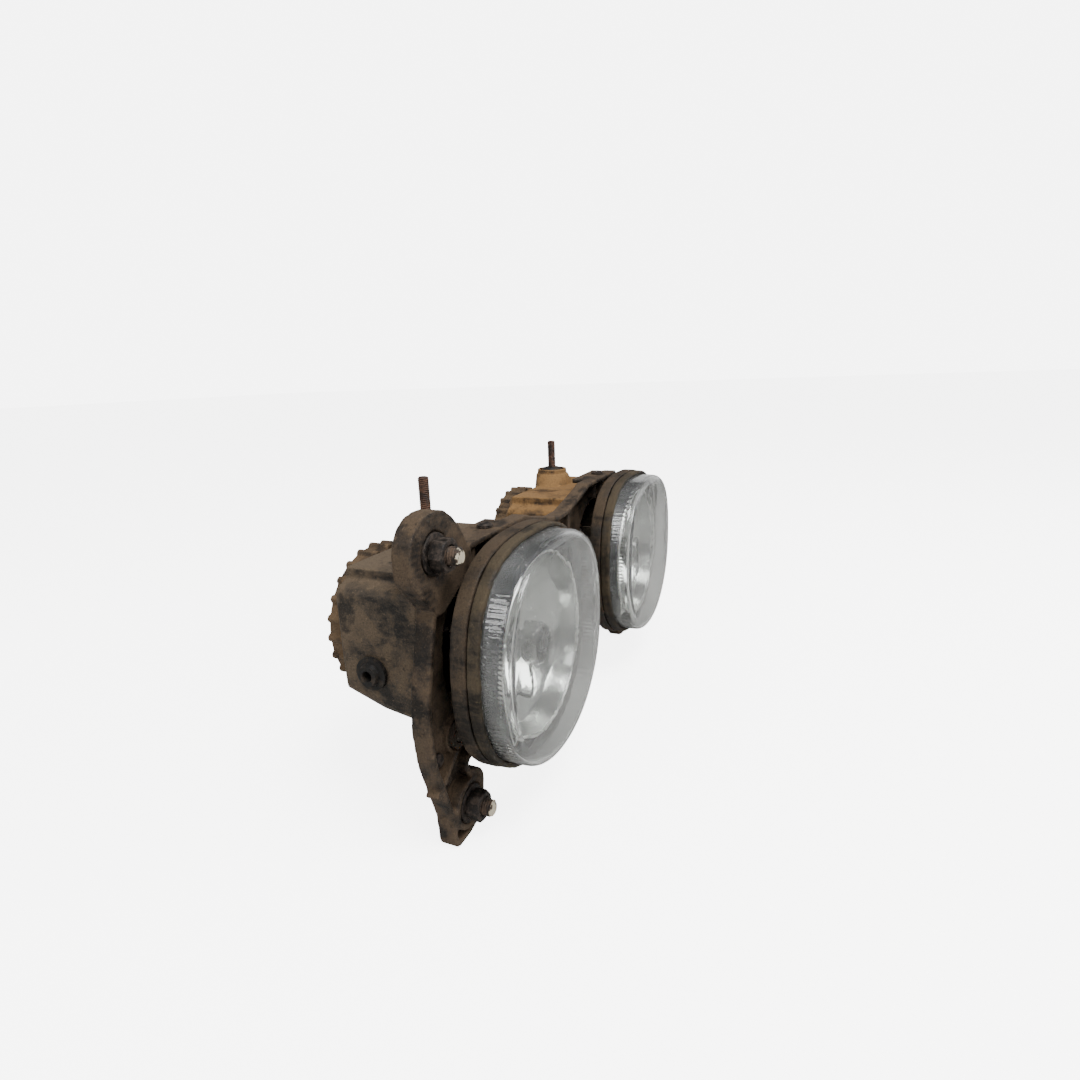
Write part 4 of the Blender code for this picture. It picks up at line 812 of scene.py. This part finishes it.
def build_sockets(side, x0):
    """Smooth cups for the ball studs, open to the front."""
    outwards = math.copysign(1, x0)
    profile = [(ON_AXIS, SOCKET_BACK_Y), (SOCKET_RADIUS, SOCKET_BACK_Y), (SOCKET_RADIUS, SOCKET_FRONT_Y)]
    for degrees in range(-27, 90, 9):
        angle = math.radians(degrees)
        profile.append((CUP_RADIUS * math.cos(angle), PIVOT_Y + CUP_RADIUS * math.sin(angle)))
    profile.append((ON_AXIS, PIVOT_Y + CUP_RADIUS))
    shape = [(radius * MM, y * MM) for radius, y in profile]
    for hand, sign in (("outer", outwards), ("inner", -outwards)):
        bm = lathe(shape, (x0 + sign * PIVOT_X, 0, PIVOT_Z), "Y", 48, closed=False)
        cup = piece(f"moulded_socket_{side}_{hand}", bm, SOCKET, "carrier")
        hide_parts(f"pivot_socket_{side}_{hand}")


def build_hardware():
    for side, x0 in LAMPS.items():
        build_sockets(side, x0)
        build_spindle(side, x0)
        build_cap(side, x0)
    for spot, (x, z) in BOLTS.items():
        build_bolt(spot, x, z)


# ---- CAD pieces that stay ------------------------------------------------------------------------


def moulded(node):
    """Rounds a CAD piece's edges as moulding does."""
    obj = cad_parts[node]
    remesh = obj.modifiers.new("moulding", "REMESH")
    remesh.mode = "VOXEL"
    remesh.voxel_size = MOULDING_VOXEL
    remesh.use_smooth_shade = True
    smooth = obj.modifiers.new("rounds", "SMOOTH")
    smooth.factor = 0.5
    smooth.iterations = MOULDING_PASSES


def dressed(node, material):
    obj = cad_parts[node]
    obj.data.materials.clear()
    obj.data.materials.append(material)


def dress_cad():
    dressed("carrier_frame", BODY)
    moulded("carrier_frame")
    for side in LAMPS:
        dressed(f"rear_housing_{side}", HOUSING[side])
        moulded(f"rear_housing_{side}")
        for node, material in (
            ("reflector", REAR),
            ("glare_shield", SHIELD),
            ("bulb_base", STEEL),
            ("bulb_clip", STEEL),
            ("aim_nut", WHITE),
            ("cable_grommet", SEAL),
            ("tab_screw", NUT),
        ):
            dressed(f"{node}_{side}", material)
        for hand in ("outer", "inner"):
            dressed(f"housing_screw_{side}_{hand}", NUT)


# ---- stage ----------------------------------------------------------------------------------------


def build_floor(low):
    bm = bmesh.new()
    bmesh.ops.create_grid(bm, x_segments=8, y_segments=8, size=FLOOR_HALF_WIDTH)
    mesh = bpy.data.meshes.new("floor")
    bm.to_mesh(mesh)
    bm.free()
    mesh.materials.append(pale_floor("pale_floor"))
    floor = bpy.data.objects.new("floor", mesh)
    floor.location = (0, 0, low.z - FLOOR_DROP)
    bpy.context.scene.collection.objects.link(floor)


def room_strength(nodes, links):
    """A dim, uneven room for mirrors and glass to show."""
    room = nodes.new("ShaderNodeTexNoise")
    room.inputs["Scale"].default_value = ROOM_SCALE
    direction = nodes.new("ShaderNodeTexCoord").outputs["Generated"]
    links.new(direction, room.inputs["Vector"])
    dim = nodes.new("ShaderNodeMapRange")
    dim.inputs["From Min"].default_value = ROOM_DARK_UP_TO
    dim.inputs["From Max"].default_value = ROOM_BRIGHT_FROM
    dim.inputs["To Min"].default_value = ROOM_DARK
    dim.inputs["To Max"].default_value = ROOM_BRIGHT
    links.new(room.outputs["Fac"], dim.inputs["Value"])
    return dim.outputs["Result"]


def build_world():
    world = bpy.data.worlds.new("studio")
    world.use_nodes = True
    nodes, links = world.node_tree.nodes, world.node_tree.links
    background = nodes["Background"]
    background.inputs["Color"].default_value = (1, 1, 1, 1)
    ray = nodes.new("ShaderNodeLightPath").outputs
    sharp = nodes.new("ShaderNodeMath")
    sharp.operation = "MAXIMUM"
    links.new(ray["Is Glossy Ray"], sharp.inputs[0])
    links.new(ray["Is Transmission Ray"], sharp.inputs[1])
    strength = nodes.new("ShaderNodeMix")
    strength.inputs["A"].default_value = WORLD_LIGHT
    links.new(sharp.outputs[0], strength.inputs["Factor"])
    links.new(room_strength(nodes, links), strength.inputs["B"])
    shown = nodes.new("ShaderNodeMix")
    shown.inputs["B"].default_value = WORLD_SEEN
    links.new(ray["Is Camera Ray"], shown.inputs["Factor"])
    links.new(strength.outputs["Result"], shown.inputs["A"])
    links.new(shown.outputs["Result"], background.inputs["Strength"])
    bpy.context.scene.world = world


def build_stage():
    low, high = CAD_BOX
    build_floor(low)
    build_world()
    for name, (place, size, power) in SOFTBOXES.items():
        softbox(name, place, (low + high) / 2, size, power)


def softbox(name, place, target, size, power):
    data = bpy.data.lights.new(name, "AREA")
    data.shape = "SQUARE"
    data.size = size
    data.energy = power
    light = bpy.data.objects.new(name, data)
    light.location = place
    light.rotation_mode = "QUATERNION"
    light.rotation_quaternion = (target - place).to_track_quat("-Z", "Y")
    bpy.context.scene.collection.objects.link(light)


def build_camera():
    right = Vector((math.cos(CAMERA_AZIMUTH), math.sin(CAMERA_AZIMUTH), 0))
    level = Vector((math.sin(CAMERA_AZIMUTH), -math.cos(CAMERA_AZIMUTH), 0))
    back = level * math.cos(CAMERA_ELEVATION) + Vector((0, 0, math.sin(CAMERA_ELEVATION)))
    up = back.cross(right)
    across = right * math.cos(CAMERA_ROLL) + up * math.sin(CAMERA_ROLL)
    upward = up * math.cos(CAMERA_ROLL) - right * math.sin(CAMERA_ROLL)
    data = bpy.data.cameras.new("photo_camera")
    data.sensor_width = CAMERA_SENSOR
    data.lens = CAMERA_LENS
    data.clip_start = 0.01
    camera = bpy.data.objects.new("photo_camera", data)
    turn = Matrix((across, upward, back)).transposed().to_4x4()
    camera.matrix_world = Matrix.Translation(CAMERA_PLACE) @ turn
    bpy.context.scene.collection.objects.link(camera)
    bpy.context.scene.camera = camera


build_lamps()
build_hardware()
dress_cad()
build_stage()
build_camera()
